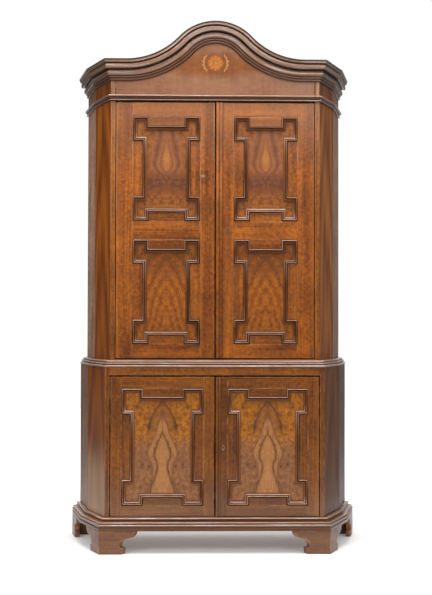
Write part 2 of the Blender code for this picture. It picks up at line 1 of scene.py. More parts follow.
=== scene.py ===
"""Looks of the two-part walnut sideboard: worn shellac walnut, book-matched panels, moulded edges.

Metres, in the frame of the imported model. The front faces -Y.
"""
import math
import random
from collections import namedtuple

import bmesh
import bpy
from mathutils import Matrix, Vector


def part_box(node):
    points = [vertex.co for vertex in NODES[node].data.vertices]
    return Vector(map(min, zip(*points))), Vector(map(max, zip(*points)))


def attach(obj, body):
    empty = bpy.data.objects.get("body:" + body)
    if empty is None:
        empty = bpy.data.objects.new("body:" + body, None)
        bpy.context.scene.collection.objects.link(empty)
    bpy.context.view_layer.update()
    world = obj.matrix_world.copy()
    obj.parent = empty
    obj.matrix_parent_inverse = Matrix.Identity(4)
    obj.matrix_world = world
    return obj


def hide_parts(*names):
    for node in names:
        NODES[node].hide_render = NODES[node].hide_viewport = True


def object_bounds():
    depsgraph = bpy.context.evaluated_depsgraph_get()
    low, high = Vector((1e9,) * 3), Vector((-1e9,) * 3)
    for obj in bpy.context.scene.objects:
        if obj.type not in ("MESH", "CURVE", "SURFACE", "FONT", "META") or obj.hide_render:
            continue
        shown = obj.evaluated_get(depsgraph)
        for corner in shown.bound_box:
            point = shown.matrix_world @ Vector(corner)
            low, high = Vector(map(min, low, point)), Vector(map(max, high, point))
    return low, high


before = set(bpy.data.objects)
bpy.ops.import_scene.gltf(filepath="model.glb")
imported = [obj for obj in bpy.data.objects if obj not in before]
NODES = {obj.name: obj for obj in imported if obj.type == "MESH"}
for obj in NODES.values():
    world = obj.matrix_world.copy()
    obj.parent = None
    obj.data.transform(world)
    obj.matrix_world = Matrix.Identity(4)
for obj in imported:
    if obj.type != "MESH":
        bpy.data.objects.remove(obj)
CAD_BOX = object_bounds()
HANDS = (("left", -1), ("right", 1))
CASES = ("upper", "lower")
UP = Vector((0, 0, 1))
ACROSS = Vector((1, 0, 0))
FORWARD = Vector((0, -1, 0))
draw = random.Random(11)
BOARD_SHIFT = 7          # metres of grain that the boards, the cants and the panels are cut from
CANT_SHIFT = 3
PANEL_SHIFT = 0.02

# Joinery that shows: rounded edges, the worn rim beside them and the gap between boards
EDGE_ROUND = 0.0014
HEAVY_ROUND = 0.0018     # feet and door stiles
SLIP_ROUND = 0.0008      # slips beside the door panels, and the frieze
VENEER_ROUND = 0.0005    # panels and the plug
REED_ROUND = 0.0004
WORN_RIM = 0.004
REED_WEAR = 0.35
SHARP_EDGE = math.radians(28)
FLAT_EDGE = math.radians(1)
UPRIGHT_SHEEN = 0.78      # wear and sheen kept by a moulding's upright faces, and the painted highlight added to those that look up; faces that look down are painted darker
UPWARD_SHEEN = 0.34
JOINT_GAP = 0.0003
MERGE_GAP = 0.00002      # points closer than this are one
BOLT_PLAY = 0.002        # round the flush bolt, in the notch of the upper top
BOLT_RIM = 0.005         # depth of the moulded rim in front of that notch
WAIST_GAP = 0.0006       # between the waist moulding and the upper case that stands in it
FACING_RISE = 0.0022     # slip on the front of a lower post, off the post
FACING_DROP = 0.026      # its top below the waist moulding
FACING_INSET = 0.001     # its sides from the edges of the post

# Doors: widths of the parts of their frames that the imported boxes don't give
Door = namedtuple("Door", "case tiers ear_width ear_height side_notch top_notch bottom_notch strip")
DOORS = (Door("upper", ("low", "high"), 0.077, 0.117, 0.046, 0.044, 0.040, 0.033),
         Door("lower", ("",), 0.102, 0.123, 0.039, 0.038, 0.036, 0.025))
DOOR_SHAVE = Vector((0.0018, 0, 0.0020))    # planed off the edges of a door, round its gaps
TOP_SHAVE = 0.003        # more off the top of a door
PANEL_SETBACK = 0.006
VENEER_T = 0.0015        # figured veneer on the plain ground of a panel
BAND_WIDTH = 0.022       # eared moulding
STRIP_RISE = 0.008       # meeting strip, and the share of it that its edges have
STRIP_EDGE = 0.25
REED_SINK = 0.0005       # of a reed into the stile behind it
REED_STEPS = 8

# Tints of the boards, which multiply the colour of their finish
FOOT_TINT = (0.56, 0.56, 0.58)
BASE_TINT = (1.0, 1.03, 1.05)
TOP_MOULDING_TINT = (1.06, 1.05, 1.05)
CORNICE_TINT = (1.0, 0.95, 0.9)
# Painted shade on the cornice returns round the cants.
RETURN_SHADE_TINT = (0.70, 0.62, 0.50)
BAND_TINT = (1.0, 0.92, 0.88)
PLUG_TINT = (1.7, 2.0, 2.5)
PANEL_BACK_TINT = (0.85, 0.80, 0.75)
POST_SHADES = {"upper": 0.95, "lower": 0.62}
CROSS_SHADES = {"lower_rail": 0.84, "upper_bottom": 0.8}
INNER_SHADE = 0.95
TOP_BOARD_SHADE = 0.8
DOOR_TINTS = {"upper": (1.08, 1.00, 0.88), "lower": (0.72, 0.72, 0.62)}
RAIL_SHADE = 1.04        # rails, slips and reeds of a door, against its stiles
SLIP_SHADE = 0.95
REED_SHADE = 0.85
# Cant and side tints also paint their light: a grey-blue painted sheen on the upper sides and the upper
# right cant, a brighter upper left cant as painted light, and painted shade on the lower right cant and
# side.
CANT_TINTS_AND_LIGHT = {"upper_left": (1.55, 1.40, 0.85), "upper_right": (1.50, 1.62, 1.90),
              "lower_left": (0.92, 0.80, 0.27), "lower_right": (0.58, 0.60, 0.54),
              "crown_left": (0.98, 0.92, 0.90), "crown_right": (1.05, 1.02, 1.00)}
SIDE_TINTS_AND_LIGHT = {"upper_left": (1.85, 2.00, 2.40), "upper_right": (1.26, 1.36, 1.50),
              "lower_left": (1.05, 1.00, 0.95), "lower_right": (0.44, 0.42, 0.38),
              "crown_left": (1.00, 1.00, 1.00), "crown_right": (1.00, 1.00, 1.00)}

# Keyholes in the right-hand doors: (x, z) of the eye, its radius, and the slot and plate round it
KEYHOLES = {"upper": (0.060, 1.528), "lower": (0.039, 0.495)}
EYE_RADIUS = 0.0028
SLOT_HALF = 0.0014
SLOT_LENGTH = 0.009
PLATE_HALF = (0.0085, 0.014)
PLATE_DROP = 0.003       # its middle below the eye
PLATE_RISE = 0.0011
PLATE_SINK = 0.0002
PLATE_SIDE = 0.7         # share of its rise where the rounded edge starts
PLATE_FACE = (0.93, 0.95)
# A black disc in the keyhole's shape, painted shade of the hole, sunk under and standing over the door's
# face
SHADE_DISC_SINK = 0.0005
SHADE_DISC_RISE = 0.0002
PLATE_STEPS = 32

# A filled hole in the upper left door, (x, z) of its middle
PLUG_PLACE = (-0.0611, 1.778)
PLUG_HALF = (0.012, 0.008)
PLUG_RISE = 0.0014

# Back boards and their nails
PLANKS = 5
PLANK_PALEST = (1.05, 1.0, 0.95)
PLANK_DARKEST = (0.72, 0.70, 0.68)
NAIL_RADIUS = 0.0032
NAIL_ROWS = {"upper": 4, "lower": 3}
NAIL_START = 0.3         # first row from the foot of a plank, in spaces between rows
NAIL_ASIDE = 0.3         # from the middle of a plank, in widths of it
NAIL_SINK = 0.1          # share of its radius
HEAD_FLATNESS = 0.4      # nails and screws
HEAD_SIDES = 12
HEAD_RINGS = 8
HEAD_PALEST = (1.0, 1.0, 1.0)
HEAD_DARKEST = (0.8, 0.8, 0.8)

# Screws of the lock cases
SCREW_RADIUS = 0.003
SCREW_INSET = 0.007

# The bell arch of the cornice: half its width, and where it turns from hollow to round
ARCH_HALF = 0.425
ARCH_TURN = 0.172
ARCH_STEPS = 20

# Inlay in the middle of the frieze
ROSETTE_HEIGHT = 2.322
PETALS = 10
PETAL = (0.030, 0.0145, 0.75)    # length, width, and a power under 1 that widens it towards its foot
UNDER_PETAL = (0.041, 0.0215, 0.75)
LEAF = (0.019, 0.0085, 0.8)
LEAF_STEPS = 7
LEAF_SPLAY = 0.8
LEAF_TAPER = 0.3         # smaller towards the ends of a spray
LEAVES = 5
SPRAY_RADIUS = 0.052
SPRAY_ANGLE = math.radians(36)
HEART_RADIUS = 0.009
HEART_SIZE = 0.92
VENEER_RISE = 0.0004
LEAF_PALEST = (1.05, 1.05, 1.05)
LEAF_DARKEST = (0.88, 0.85, 0.82)

# Camera, for an image of 432 by 595 pixels
IMAGE_HEIGHT = 595
FOCAL_PIXELS = 1075.6
CAMERA_PLACE = Vector((-0.1078, -5.2917, 1.0972))
CAMERA_YAW = 0.02195
CAMERA_PITCH = 0.02037
CAMERA_ROLL = 0.00211
SENSOR = 36.0

# Studio: (x, y) of the sheets on the floor, their depth under the feet, (place, size, power) of the lamps
PAPER = ((-0.95, -1.5), (0.95, -1.5), (3.0, 8.0), (-3.0, 8.0))
PAPER_DEPTH = 0.0005
GROUND = ((-12, -12), (12, -12), (12, 8.0), (-12, 8.0))
GROUND_DEPTH = 0.01
LAMPS = {"softbox_left": ((-2.6, -4.4, 3.3), 1.8, 72),
         "softbox_right": ((1.6, -4.8, 3.5), 1.4, 42),
         "softbox_top": ((0.0, -1.0, 4.3), 1.8, 125)}
LAMP_AIM = Vector((0, 0, 1.2))


def corner_of(node, rule):
    """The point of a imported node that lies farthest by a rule."""
    return max((v.co.copy() for v in NODES[node].data.vertices), key=rule)


# Plan of the upper case, right half: front corner, shoulder of the cant, tail at the back
CORNER = corner_of("upper_right_post", lambda p: p.x - 4 * p.y).to_2d()
SHOULDER = corner_of("upper_right_post", lambda p: p.x).to_2d()
TAIL = corner_of("upper_right_side", lambda p: p.x).to_2d()
LOWER_OUT = CORNER.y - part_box("lower_right_post")[0].y
FACE = {"upper": CORNER.y, "lower": CORNER.y - LOWER_OUT}
OPENING = {case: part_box(f"{case}_right_post")[0].x for case in CASES}
POST_T = 0.024
SIDE_T = 0.020


def square_to(start, end):
    """Outward normal of a plan edge that runs from front to back on the right-hand side."""
    run = (end - start).normalized()
    return Vector((run.y, -run.x))


def mitre(one, other):
    """Shift of a corner for each metre that the two edges beside it move outwards."""
    return (one + other) / (1 + one.dot(other))


FRONT_NORMAL = Vector((0, -1))
CANT_NORMAL = square_to(CORNER, SHOULDER)
SIDE_NORMAL = square_to(SHOULDER, TAIL)
PLAN = (CORNER, SHOULDER, TAIL)
PLAN_SHIFT = (mitre(FRONT_NORMAL, CANT_NORMAL), mitre(CANT_NORMAL, SIDE_NORMAL),
              Vector((1 / SIDE_NORMAL.x, 0)))


def plan(offset):
    """The three plan points of the right half, moved outwards."""
    return [point + shift * offset for point, shift in zip(PLAN, PLAN_SHIFT)]


def handed(points, hand):
    """Points of the right half, or their mirror images on the left."""
    return [Vector((hand * p[0], *p[1:])) for p in points]


class Wire:
    """An output in a node tree. Arithmetic on it adds the nodes that it needs."""

    def __init__(self, tree, socket):
        self.tree = tree
        self.socket = socket

    def add(self, kind, settings, links, out=0):
        """A new node: its settings first, then the values or wires of its inputs."""
        node = self.tree.nodes.new(kind)
        for name, value in settings.items():
            if name == "stops":
                while len(node.color_ramp.elements) < len(value):
                    node.color_ramp.elements.new(1.0)
                for element, (position, colour) in zip(node.color_ramp.elements, value):
                    element.position = position
                    element.color = (*colour, 1.0)
            elif name == "points":
                curve = node.mapping.curves[0]
                while len(curve.points) < len(value):
                    curve.points.new(1.0, 1.0)
                for point, spot in zip(curve.points, value):
                    point.location = spot
                node.mapping.update()
            else:
                setattr(node, name, value)
        for name, value in links.items():
            if isinstance(value, Wire):
                self.tree.links.new(value.socket, node.inputs[name])
            else:
                node.inputs[name].default_value = value
        return Wire(self.tree, node.outputs[out])

    def math(self, operation, *terms):
        return self.add("ShaderNodeMath", {"operation": operation}, dict(enumerate(terms)))

    def vector(self, operation, *terms):
        names = {"SCALE": ("Vector", "Scale")}.get(operation, (0, 1))
        out = "Value" if operation == "LENGTH" else "Vector"
        return self.add("ShaderNodeVectorMath", {"operation": operation}, dict(zip(names, terms)), out)

    def split(self):
        node = self.add("ShaderNodeSeparateXYZ", {}, {"Vector": self}).socket.node
        return [Wire(self.tree, output) for output in node.outputs]

    def join(self, x, y, z):
        return self.add("ShaderNodeCombineXYZ", {}, {"X": x, "Y": y, "Z": z})

    def noise(self, vector, scale, detail=2.0, roughness=0.5):
        links = {"Vector": vector, "Scale": scale, "Detail": detail, "Roughness": roughness}
        return self.add("ShaderNodeTexNoise", {}, links)

    def ramp(self, factor, *stops):
        return self.add("ShaderNodeValToRGB", {"stops": stops}, {"Fac": factor})

    def mix(self, factor, one, other, blend="MIX"):
        settings = {"data_type": "RGBA", "blend_type": blend}
        return self.add("ShaderNodeMix", settings, {0: factor, 6: rgba(one), 7: rgba(other)}, out=2)

    def stain(self, factor, colour, tone):
        """A colour multiplied by a tone, as far as the factor says."""
        return self.mix(factor, colour, tone, "MULTIPLY")

    def step(self, value, low, high):
        """0 below low, 1 above high, smooth between."""
        settings = {"interpolation_type": "SMOOTHSTEP"}
        links = {"Value": value, "From Min": low, "From Max": high}
        return self.add("ShaderNodeMapRange", settings, links)

    def fall(self, value, low, high):
        """1 below low, 0 above high, smooth between."""
        return 1.0 - self.step(value, low, high)

    def rings(self, value):
        """Growth rings: up and down between 0 and 1 as the value climbs."""
        return self.math("PINGPONG", value, 1.0)

    def line(self, distance, width):
        """1 where the distance is 0, fading to both sides."""
        share = distance / width
        return 1.0 / (1.0 + share * share)

    def __add__(self, other):
        return self.math("ADD", self, other)

    def __sub__(self, other):
        return self.math("SUBTRACT", self, other)

    def __rsub__(self, other):
        return self.math("SUBTRACT", other, self)

    def __mul__(self, other):
        return self.math("MULTIPLY", self, other)

    def __truediv__(self, other):
        return self.math("DIVIDE", self, other)

    def __rtruediv__(self, other):
        return self.math("DIVIDE", other, self)

    def __abs__(self):
        return self.math("ABSOLUTE", self)

    __radd__ = __add__
    __rmul__ = __mul__


def rgba(colour):
    return colour if isinstance(colour, Wire) else (*colour, 1.0)


class Finish:
    """A material under construction, with the grain coordinates of the board that it covers."""

    def __init__(self, name):
        self.material = bpy.data.materials.new(name)
        self.material.use_nodes = True
        tree = self.material.node_tree
        self.shader = tree.nodes["Principled BSDF"]
        self.wire = Wire(tree, None)

    def attribute(self, name, out="Vector"):
        return self.wire.add("ShaderNodeAttribute", {"attribute_name": name}, {}, out)

    def spot(self):
        """The place of a point in the frame."""
        return self.wire.add("ShaderNodeTexCoord", {}, {}, "Object")

    def feed(self, name, wire):
        self.wire.tree.links.new(wire.socket, self.shader.inputs[name])

    def polish(self, colour, roughness, height, depth=0.0004, coat=0.2, shine=0.32):
        """Colour, gloss and relief to the shader, under a thin coat of shellac."""
        self.feed("Base Color", colour)
        self.feed("Roughness", roughness)
        bump = self.wire.add("ShaderNodeBump", {}, {"Strength": 0.5, "Distance": depth, "Height": height})
        self.feed("Normal", bump)
        self.shader.inputs["Specular IOR Level"].default_value = shine
        self.shader.inputs["Coat Weight"].default_value = coat
        self.shader.inputs["Coat Roughness"].default_value = 0.14
        return self.material


def stretched(wire, along, across, depth, slow, fast):
    """Coordinates for a pattern that is long in the direction of the grain."""
    return wire.join(along * slow, across * fast, depth * fast)


def grain_parts(finish):
    """Along, across and depth of the grain, gently bent, and the streaks that follow it."""
    wire = finish.wire
    along, across, depth = finish.attribute("grain").split()
    wander = wire.noise(stretched(wire, along, across, depth, 1.1, 5.0), 1.0, 1.0)
    bent = across + (wander - 0.5) * 0.034
    bands = wire.noise(stretched(wire, along, bent, depth, 0.6, 30.0), 1.0, 3.0, 0.5)
    streaks = wire.noise(stretched(wire, along, bent, depth, 2.0, 130.0), 1.0, 3.0, 0.6)
    pores = wire.noise(stretched(wire, along, bent, depth, 40.0, 1100.0), 1.0, 1.0)
    return along, bent, depth, bands, streaks, pores


def aged(finish, colour, streaks, pores, light, soil=0.25):
    """Board tint, dark pores, pale edges from wear and, on mouldings, painted highlight, and the patchy
    dullness of an old polish.
    """
    wire = finish.wire
    colour = wire.stain(1.0, colour, finish.attribute("tint"))
    spot = finish.spot()
    along, across, depth = finish.attribute("grain").split()
    cloud = wire.noise(stretched(wire, along, across, depth, 1.3, 15.0), 1.0, 2.0, 0.5)
    colour = wire.stain(wire.step(cloud, 0.44, 0.70) * soil, colour, (0.50, 0.42, 0.40))
    colour = wire.mix(wire.step(pores, 0.60, 0.72) * 0.40, colour, (0.035, 0.014, 0.006))
    wear = finish.attribute("wear", "Fac")
    patchy = wire.step(wire.noise(spot, 26.0, 3.0, 0.6), 0.38, 0.66)
    colour = wire.mix(wear * wear * patchy * 0.6, colour, light)
    roughness = 0.30 + cloud * 0.16 + pores * 0.10 - wear * 0.05
    height = streaks * 0.5 - pores * 0.7
    return colour, roughness, height


def straight_walnut(name, dark, middle, light, worn, soil, floor_reflection, coat=0.2, shine=0.32):
    """Straight-grained walnut of the frames, rails, posts and sides.

    It is darker round the plug. A painted sheen makes it paler and rosier at the top, painted shade darkens
    it below 1.0 to 1.5 m, and a painted reflection of the floor lies over the lowest boards."""
    finish = Finish(name)
    *_, bands, streaks, pores = grain_parts(finish)
    wire = finish.wire
    spot = finish.spot()
    mottle = wire.noise(spot, 62.0, 4.0, 0.65)
    value = bands * 0.34 + streaks * 0.28 + mottle * 0.42
    colour = wire.ramp(value, (0.42, dark), (0.51, middle), (0.60, light))
    patch = wire.noise(spot, 6.5, 3.0, 0.6)
    colour = wire.stain(wire.step(patch, 0.50, 0.62) * 0.45, colour, (0.58, 0.55, 0.52))
    colour = wire.stain(wire.fall(patch, 0.38, 0.50) * 0.45, colour, (1.42, 1.38, 1.30))
    x, _, level = spot.split()
    # Darker round the plug.
    apart = wire.vector("LENGTH", wire.join(x - PLUG_PLACE[0], level - PLUG_PLACE[1], 0.0))
    darker_near_plug = wire.fall(apart + (mottle - 0.5) * 0.03, 0.012, 0.060)
    colour = wire.stain(darker_near_plug * 0.6, colour, (0.40, 0.42, 0.50))
    # Painted sheen: paler and rosier towards the top.
    colour = wire.mix(wire.step(level, 1.75, 2.18) * 0.45, colour, (0.32, 0.165, 0.098))
    # Painted shade: darker lower down, below 1.0 to 1.5 m.
    colour = wire.stain(wire.fall(level, 1.0, 1.5) * 0.4, colour, (0.62, 0.60, 0.45))
    # Painted reflection of the floor over the lowest boards.
    colour = wire.mix(wire.fall(level, 0.14, 0.40) * floor_reflection, colour, (0.32, 0.175, 0.105))
    return finish.polish(*aged(finish, colour, streaks, pores, worn, soil), coat=coat, shine=shine)


def frieze_veneer(name):
    """Smooth veneer of the frieze: rosy and faintly streaked, orange round the inlay, paler end strips, and
    painted shade in the grooves beside them.
    """
    finish = Finish(name)
    wire = finish.wire
    spot = finish.spot()
    x, y, z = spot.split()
    streaks = wire.noise(wire.join(x * 90.0, y, z * 7.0), 1.0, 3.0, 0.55)
    cloud = wire.noise(spot, 7.0, 2.0)
    flecks = wire.noise(wire.join(x * 26.0, y, z * 60.0), 1.0, 4.0, 0.6)
    pores = wire.noise(wire.join(x * 900.0, y, z * 50.0), 1.0, 1.0)
    value = streaks * 0.22 + cloud * 0.45 + flecks * 0.38
    rosy = wire.ramp(value, (0.40, (0.225, 0.090, 0.040)), (0.66, (0.315, 0.142, 0.072)))
    orange = wire.ramp(value, (0.40, (0.150, 0.036, 0.002)), (0.66, (0.265, 0.075, 0.006)))
    apart = wire.vector("LENGTH", wire.join(x * 0.24, z - ROSETTE_HEIGHT + 0.010, 0.0))
    near = wire.fall(apart + (cloud - 0.5) * 0.03, 0.030, 0.078)
    colour = wire.mix(near * 0.9, rosy, orange)
    strip = wire.step(abs(x), OPENING["upper"] - 0.001, OPENING["upper"] + 0.001)
    paler = wire.ramp(streaks, (0.35, (0.26, 0.115, 0.05)), (0.65, (0.40, 0.20, 0.10)))
    colour = wire.mix(strip, colour, paler)
    # Painted shade in the grooves beside the end strips.
    groove_shade = wire.line(abs(x) - OPENING["upper"], 0.0016)
    colour = wire.mix(groove_shade * 0.7, colour, (0.05, 0.02, 0.01))
    return finish.polish(*aged(finish, colour, streaks, pores, (0.46, 0.24, 0.12), 0.1))


def cathedral_walnut(name, dark, middle, light, worn):
    """Flat-sawn veneer of the canted corners: nested arches up the board.

    The foot of the left lower corner is paler and bluer, the foot of the right one darker, and painted
    shade darkens the foot of the upper ones above the waist moulding."""
    finish = Finish(name)
    along, bent, _, bands, streaks, pores = grain_parts(finish)
    wire = finish.wire
    sway = wire.noise(wire.join(along * 0.9, 0.0, 3.0), 1.0, 1.0)
    aside = bent - (sway - 0.5) * 0.16
    rings = along * 3.4 + aside * aside * 190.0 + bands * 2.2
    arches = wire.rings(rings)
    value = arches * 0.55 + bands * 0.28 + streaks * 0.26
    colour = wire.ramp(value, (0.22, dark), (0.52, middle), (0.86, light))
    x, _, level = finish.spot().split()
    right = wire.step(x, -0.1, 0.1)
    low = wire.fall(level, 0.34, 0.54)
    colour = wire.mix(low * (1.0 - right) * 0.62, colour, (0.42, 0.31, 0.57))
    colour = wire.stain(low * right * 0.55, colour, (0.45, 0.40, 0.36))
    # Painted shade at the foot of the upper cants, above the waist moulding.
    foot = wire.fall(level, 0.95, 1.40) * wire.step(level, 0.85, 0.88)
    colour = wire.stain(foot * 0.55, colour, (0.55, 0.50, 0.45))
    return finish.polish(*aged(finish, colour, streaks, pores, worn), coat=0.1, shine=0.2)


def panel_parts(finish):
    """Distance from the book-match line, height on the panel, and noise that mirrors about the line."""
    wire = finish.wire
    aside, height, leaf = finish.attribute("grain").split()
    fold = abs(aside)
    mirrored = wire.join(fold, height, leaf)
    slow = wire.noise(mirrored, 9.0, 2.0)
    burr = wire.noise(mirrored, 55.0, 4.0, 0.6)
    specks = wire.step(wire.noise(mirrored, 170.0, 3.0, 0.65), 0.54, 0.66)
    fine = wire.noise(wire.join(fold * 420.0, height * 14.0, leaf), 1.0, 3.0, 0.6)
    pores = wire.noise(wire.join(fold * 900.0, height * 120.0, leaf), 1.0, 1.0)
    return fold, height, slow, burr, specks, fine, pores


# Figures of the panels: half-widths in tenths of a metre at shares of the panel's height
VASE = ((0.0, 0.80), (0.15, 0.55), (0.25, 0.34), (0.315, 0.245), (0.365, 0.27), (0.42, 0.35), (0.486, 0.31),
        (0.585, 0.136), (0.634, 0.0), (1.0, 0.0))
VASE_BAND = ((0.0, 0.9), (0.157, 0.63), (0.215, 0.50), (0.297, 0.45), (0.346, 0.48), (0.396, 0.59),
             (0.445, 0.66), (0.49, 0.62), (0.585, 0.40), (0.69, 0.20), (0.78, 0.03), (0.84, 0.0),
             (1.0, 0.0))
BOUGH = ((0.0, 0.80), (0.60, 0.66), (0.675, 0.62), (0.757, 0.50), (0.83, 0.27), (0.875, 0.09), (0.93, 0.0),
         (1.0, 0.0))
DROP = ((0.0, 0.0), (0.46, 0.0), (0.49, 0.11), (0.53, 0.20), (0.58, 0.24), (0.64, 0.19), (0.72, 0.12),
        (0.82, 0.06), (1.0, 0.03))
# Knots of the lower panels: metres from the middle, share of the height, size in metres
KNOTS = ((0.061, 0.666, 0.0085), (0.095, 0.345, 0.006), (0.062, 0.330, 0.005), (0.118, 0.84, 0.006))
LOWER_PANEL_TALL = 0.551
UPPER_PANEL_TALL = 0.498


def contour(wire, share, points):
    """Half-width in metres of a figure at a share of the panel's height."""
    return wire.add("ShaderNodeFloatCurve", {"points": points}, {"Value": share}) * 0.1


def vase_panel(name):
    """Lower panels: a pale vase between dark growth lines, under two dark boughs that end in knots."""
    finish = Finish(name)
    wire = finish.wire
    fold, height, slow, burr, specks, fine, pores = panel_parts(finish)
    share = height / LOWER_PANEL_TALL
    shake = (slow - 0.5) * 0.026 + (burr - 0.5) * 0.014 + (fine - 0.5) * 0.004
    vase, band, bough = (fold + shake - contour(wire, share, figure) for figure in (VASE, VASE_BAND, BOUGH))
    tan = wire.ramp(fine * 0.6 + burr * 0.4, (0.34, (0.235, 0.088, 0.024)), (0.50, (0.400, 0.170, 0.050)),
                    (0.66, (0.530, 0.245, 0.078)))
    rose = wire.ramp(burr, (0.34, (0.185, 0.070, 0.024)), (0.52, (0.280, 0.110, 0.037)),
                     (0.70, (0.355, 0.148, 0.052)))
    gold = wire.ramp(burr, (0.34, (0.205, 0.058, 0.002)), (0.52, (0.400, 0.128, 0.005)),
                     (0.68, (0.510, 0.190, 0.010)))
    colour = wire.mix(wire.step(share, 0.46, 0.64), rose, gold)
    upper = wire.step(share, 0.60, 0.68)
    colour = wire.mix(wire.fall(bough, -0.003, 0.002) * upper * 0.5, colour, (0.230, 0.086, 0.026))
    rings = wire.rings(band * 64.0 + slow * 1.5)
    colour = wire.mix(wire.step(rings, 0.60, 1.0) * 0.32, colour, (0.150, 0.048, 0.014))
    colour = wire.mix(specks * 0.45, colour, (0.105, 0.034, 0.011))
    colour = wire.mix(wire.fall(band, -0.008, 0.006) * 0.92, colour, tan)
    below = wire.fall(share, 0.63, 0.70)
    colour = wire.mix(wire.line(vase, 0.0046) * below * 0.95, colour, (0.110, 0.034, 0.011))
    colour = wire.mix(wire.line(band, 0.0034) * 0.70, colour, (0.150, 0.050, 0.016))
    colour = wire.mix(wire.line(bough, 0.0046) * upper * 0.95, colour, (0.100, 0.032, 0.009))
    middle = wire.line(fold, 0.0022) * wire.step(share, 0.62, 0.70) * wire.fall(share, 0.76, 0.84)
    colour = wire.mix(middle * 0.6, colour, (0.150, 0.050, 0.016))
    for aside, level, size in KNOTS:
        apart = wire.vector("LENGTH", wire.join(fold - aside, (share - level) * 0.42, 0.0))
        colour = wire.mix(wire.line(apart, size) * 0.85, colour, (0.065, 0.022, 0.010))
    tangle = wire.step(share, 0.83, 0.90) * wire.step(burr, 0.46, 0.60) * wire.fall(fold, 0.07, 0.12)
    colour = wire.mix(tangle * 0.8, colour, (0.090, 0.028, 0.008))
    return finish.polish(*aged(finish, colour, fine, pores, (0.46, 0.21, 0.07), 0.2))


def teardrop_panel(name):
    """High panels of the upper doors: a pale flame drop in a brown halo, over a belt of burr."""
    finish = Finish(name)
    wire = finish.wire
    fold, height, slow, burr, specks, fine, pores = panel_parts(finish)
    share = height / UPPER_PANEL_TALL
    shake = (slow - 0.5) * 0.022 + (burr - 0.5) * 0.012 + (fine - 0.5) * 0.004
    drop = fold + shake - contour(wire, share, DROP)
    plain = wire.ramp(burr, (0.34, (0.160, 0.041, 0.005)), (0.52, (0.305, 0.090, 0.011)),
                      (0.70, (0.430, 0.146, 0.022)))
    rings = wire.rings(drop * 52.0 + slow * 1.2)
    halo = wire.mix(rings, (0.150, 0.045, 0.016), (0.335, 0.120, 0.045))
    above = wire.step(share, 0.38, 0.48)
    near = wire.fall(drop, 0.030, 0.075)
    colour = wire.mix(above * (near * 0.6 + 0.25), plain, halo)
    core = wire.ramp(fine * 0.6 + burr * 0.4, (0.36, (0.260, 0.078, 0.015)), (0.62, (0.560, 0.210, 0.050)))
    colour = wire.mix(wire.fall(drop, -0.012, 0.006) * above, colour, core)
    colour = wire.mix(wire.line(drop, 0.0040) * above * 0.30, colour, (0.120, 0.036, 0.010))
    belt = wire.step(share, 0.22, 0.32) * wire.fall(share, 0.40, 0.50)
    colour = wire.mix(belt * wire.step(burr, 0.40, 0.56) * 0.85, colour, (0.085, 0.026, 0.018))
    colour = wire.mix(specks * 0.40, colour, (0.110, 0.034, 0.012))
    return finish.polish(*aged(finish, colour, fine, pores, (0.42, 0.18, 0.06), 0.2))


def chevron_panel(name):
    """Low panels of the upper doors: burr at the top, then grain that falls away in chevrons."""
    finish = Finish(name)
    wire = finish.wire
    fold, height, slow, burr, specks, fine, pores = panel_parts(finish)
    share = height / UPPER_PANEL_TALL
    steep = 2.6 - wire.step(share, 0.1, 0.9) * 1.2
    fall = height + fold * steep + (slow - 0.5) * 0.08 + (burr - 0.5) * 0.016
    rings = wire.rings(fall * 24.0)
    close = wire.rings(fall * 96.0 + fine)
    value = rings * 0.13 + close * 0.10 + fine * 0.24 + burr * 0.53
    colour = wire.ramp(value, (0.34, (0.125, 0.029, 0.002)), (0.50, (0.290, 0.077, 0.005)),
                       (0.66, (0.430, 0.138, 0.011)))
    colour = wire.mix(specks * 0.35, colour, (0.100, 0.028, 0.006))
    top = wire.step(share, 0.60, 0.74)
    colour = wire.mix(top * wire.step(burr, 0.42, 0.60) * 0.78, colour, (0.105, 0.030, 0.008))
    return finish.polish(*aged(finish, colour, fine, pores, (0.42, 0.17, 0.05), 0.2))


def moulding_walnut(name, dark, middle, light, crest, rub_and_sheen, coat, shine):
    """Polished mouldings: old soil and painted shade in the quirks, crests rubbed pale and painted lit,
    painted glints, and a painted sky reflection on the top of the arch.
    """
    finish = Finish(name)
    along, bent, depth, bands, streaks, pores = grain_parts(finish)
    wire = finish.wire
    value = bands * 0.62 + streaks * 0.42
    colour = wire.ramp(value, (0.36, dark), (0.52, middle), (0.68, light))
    wear = finish.attribute("wear", "Fac")
    # Old soil and painted shade in the quirks, where the wear and sheen value is low.
    colour = wire.mix(wire.fall(wear, 0.02, 0.36) * 0.85, colour, (0.018, 0.007, 0.003))
    # Painted glints: pale streaks along the crests.
    glint = wire.noise(stretched(wire, along, bent, depth, 5.0, 110.0), 1.0, 2.0)
    _, _, level = finish.spot().split()
    # Painted reflection of the sky on the top of the arch.
    pale = wire.mix(wire.step(level, 2.35, 2.44) * 0.5, crest, (0.62, 0.54, 0.53))
    pale = wire.mix(wire.step(glint, 0.50, 0.62) * 0.8, pale, (0.74, 0.66, 0.63))
    streaky = 0.6 + 0.4 * wire.step(bands, 0.35, 0.65)
    # Crests rubbed pale and painted lit.
    colour = wire.mix(wire.step(wear, *rub_and_sheen) * streaky, colour, pale)
    colour, roughness, height = aged(finish, colour, streaks, pores, light, 0.4)
    return finish.polish(colour, roughness - 0.06, height, coat=coat, shine=shine)


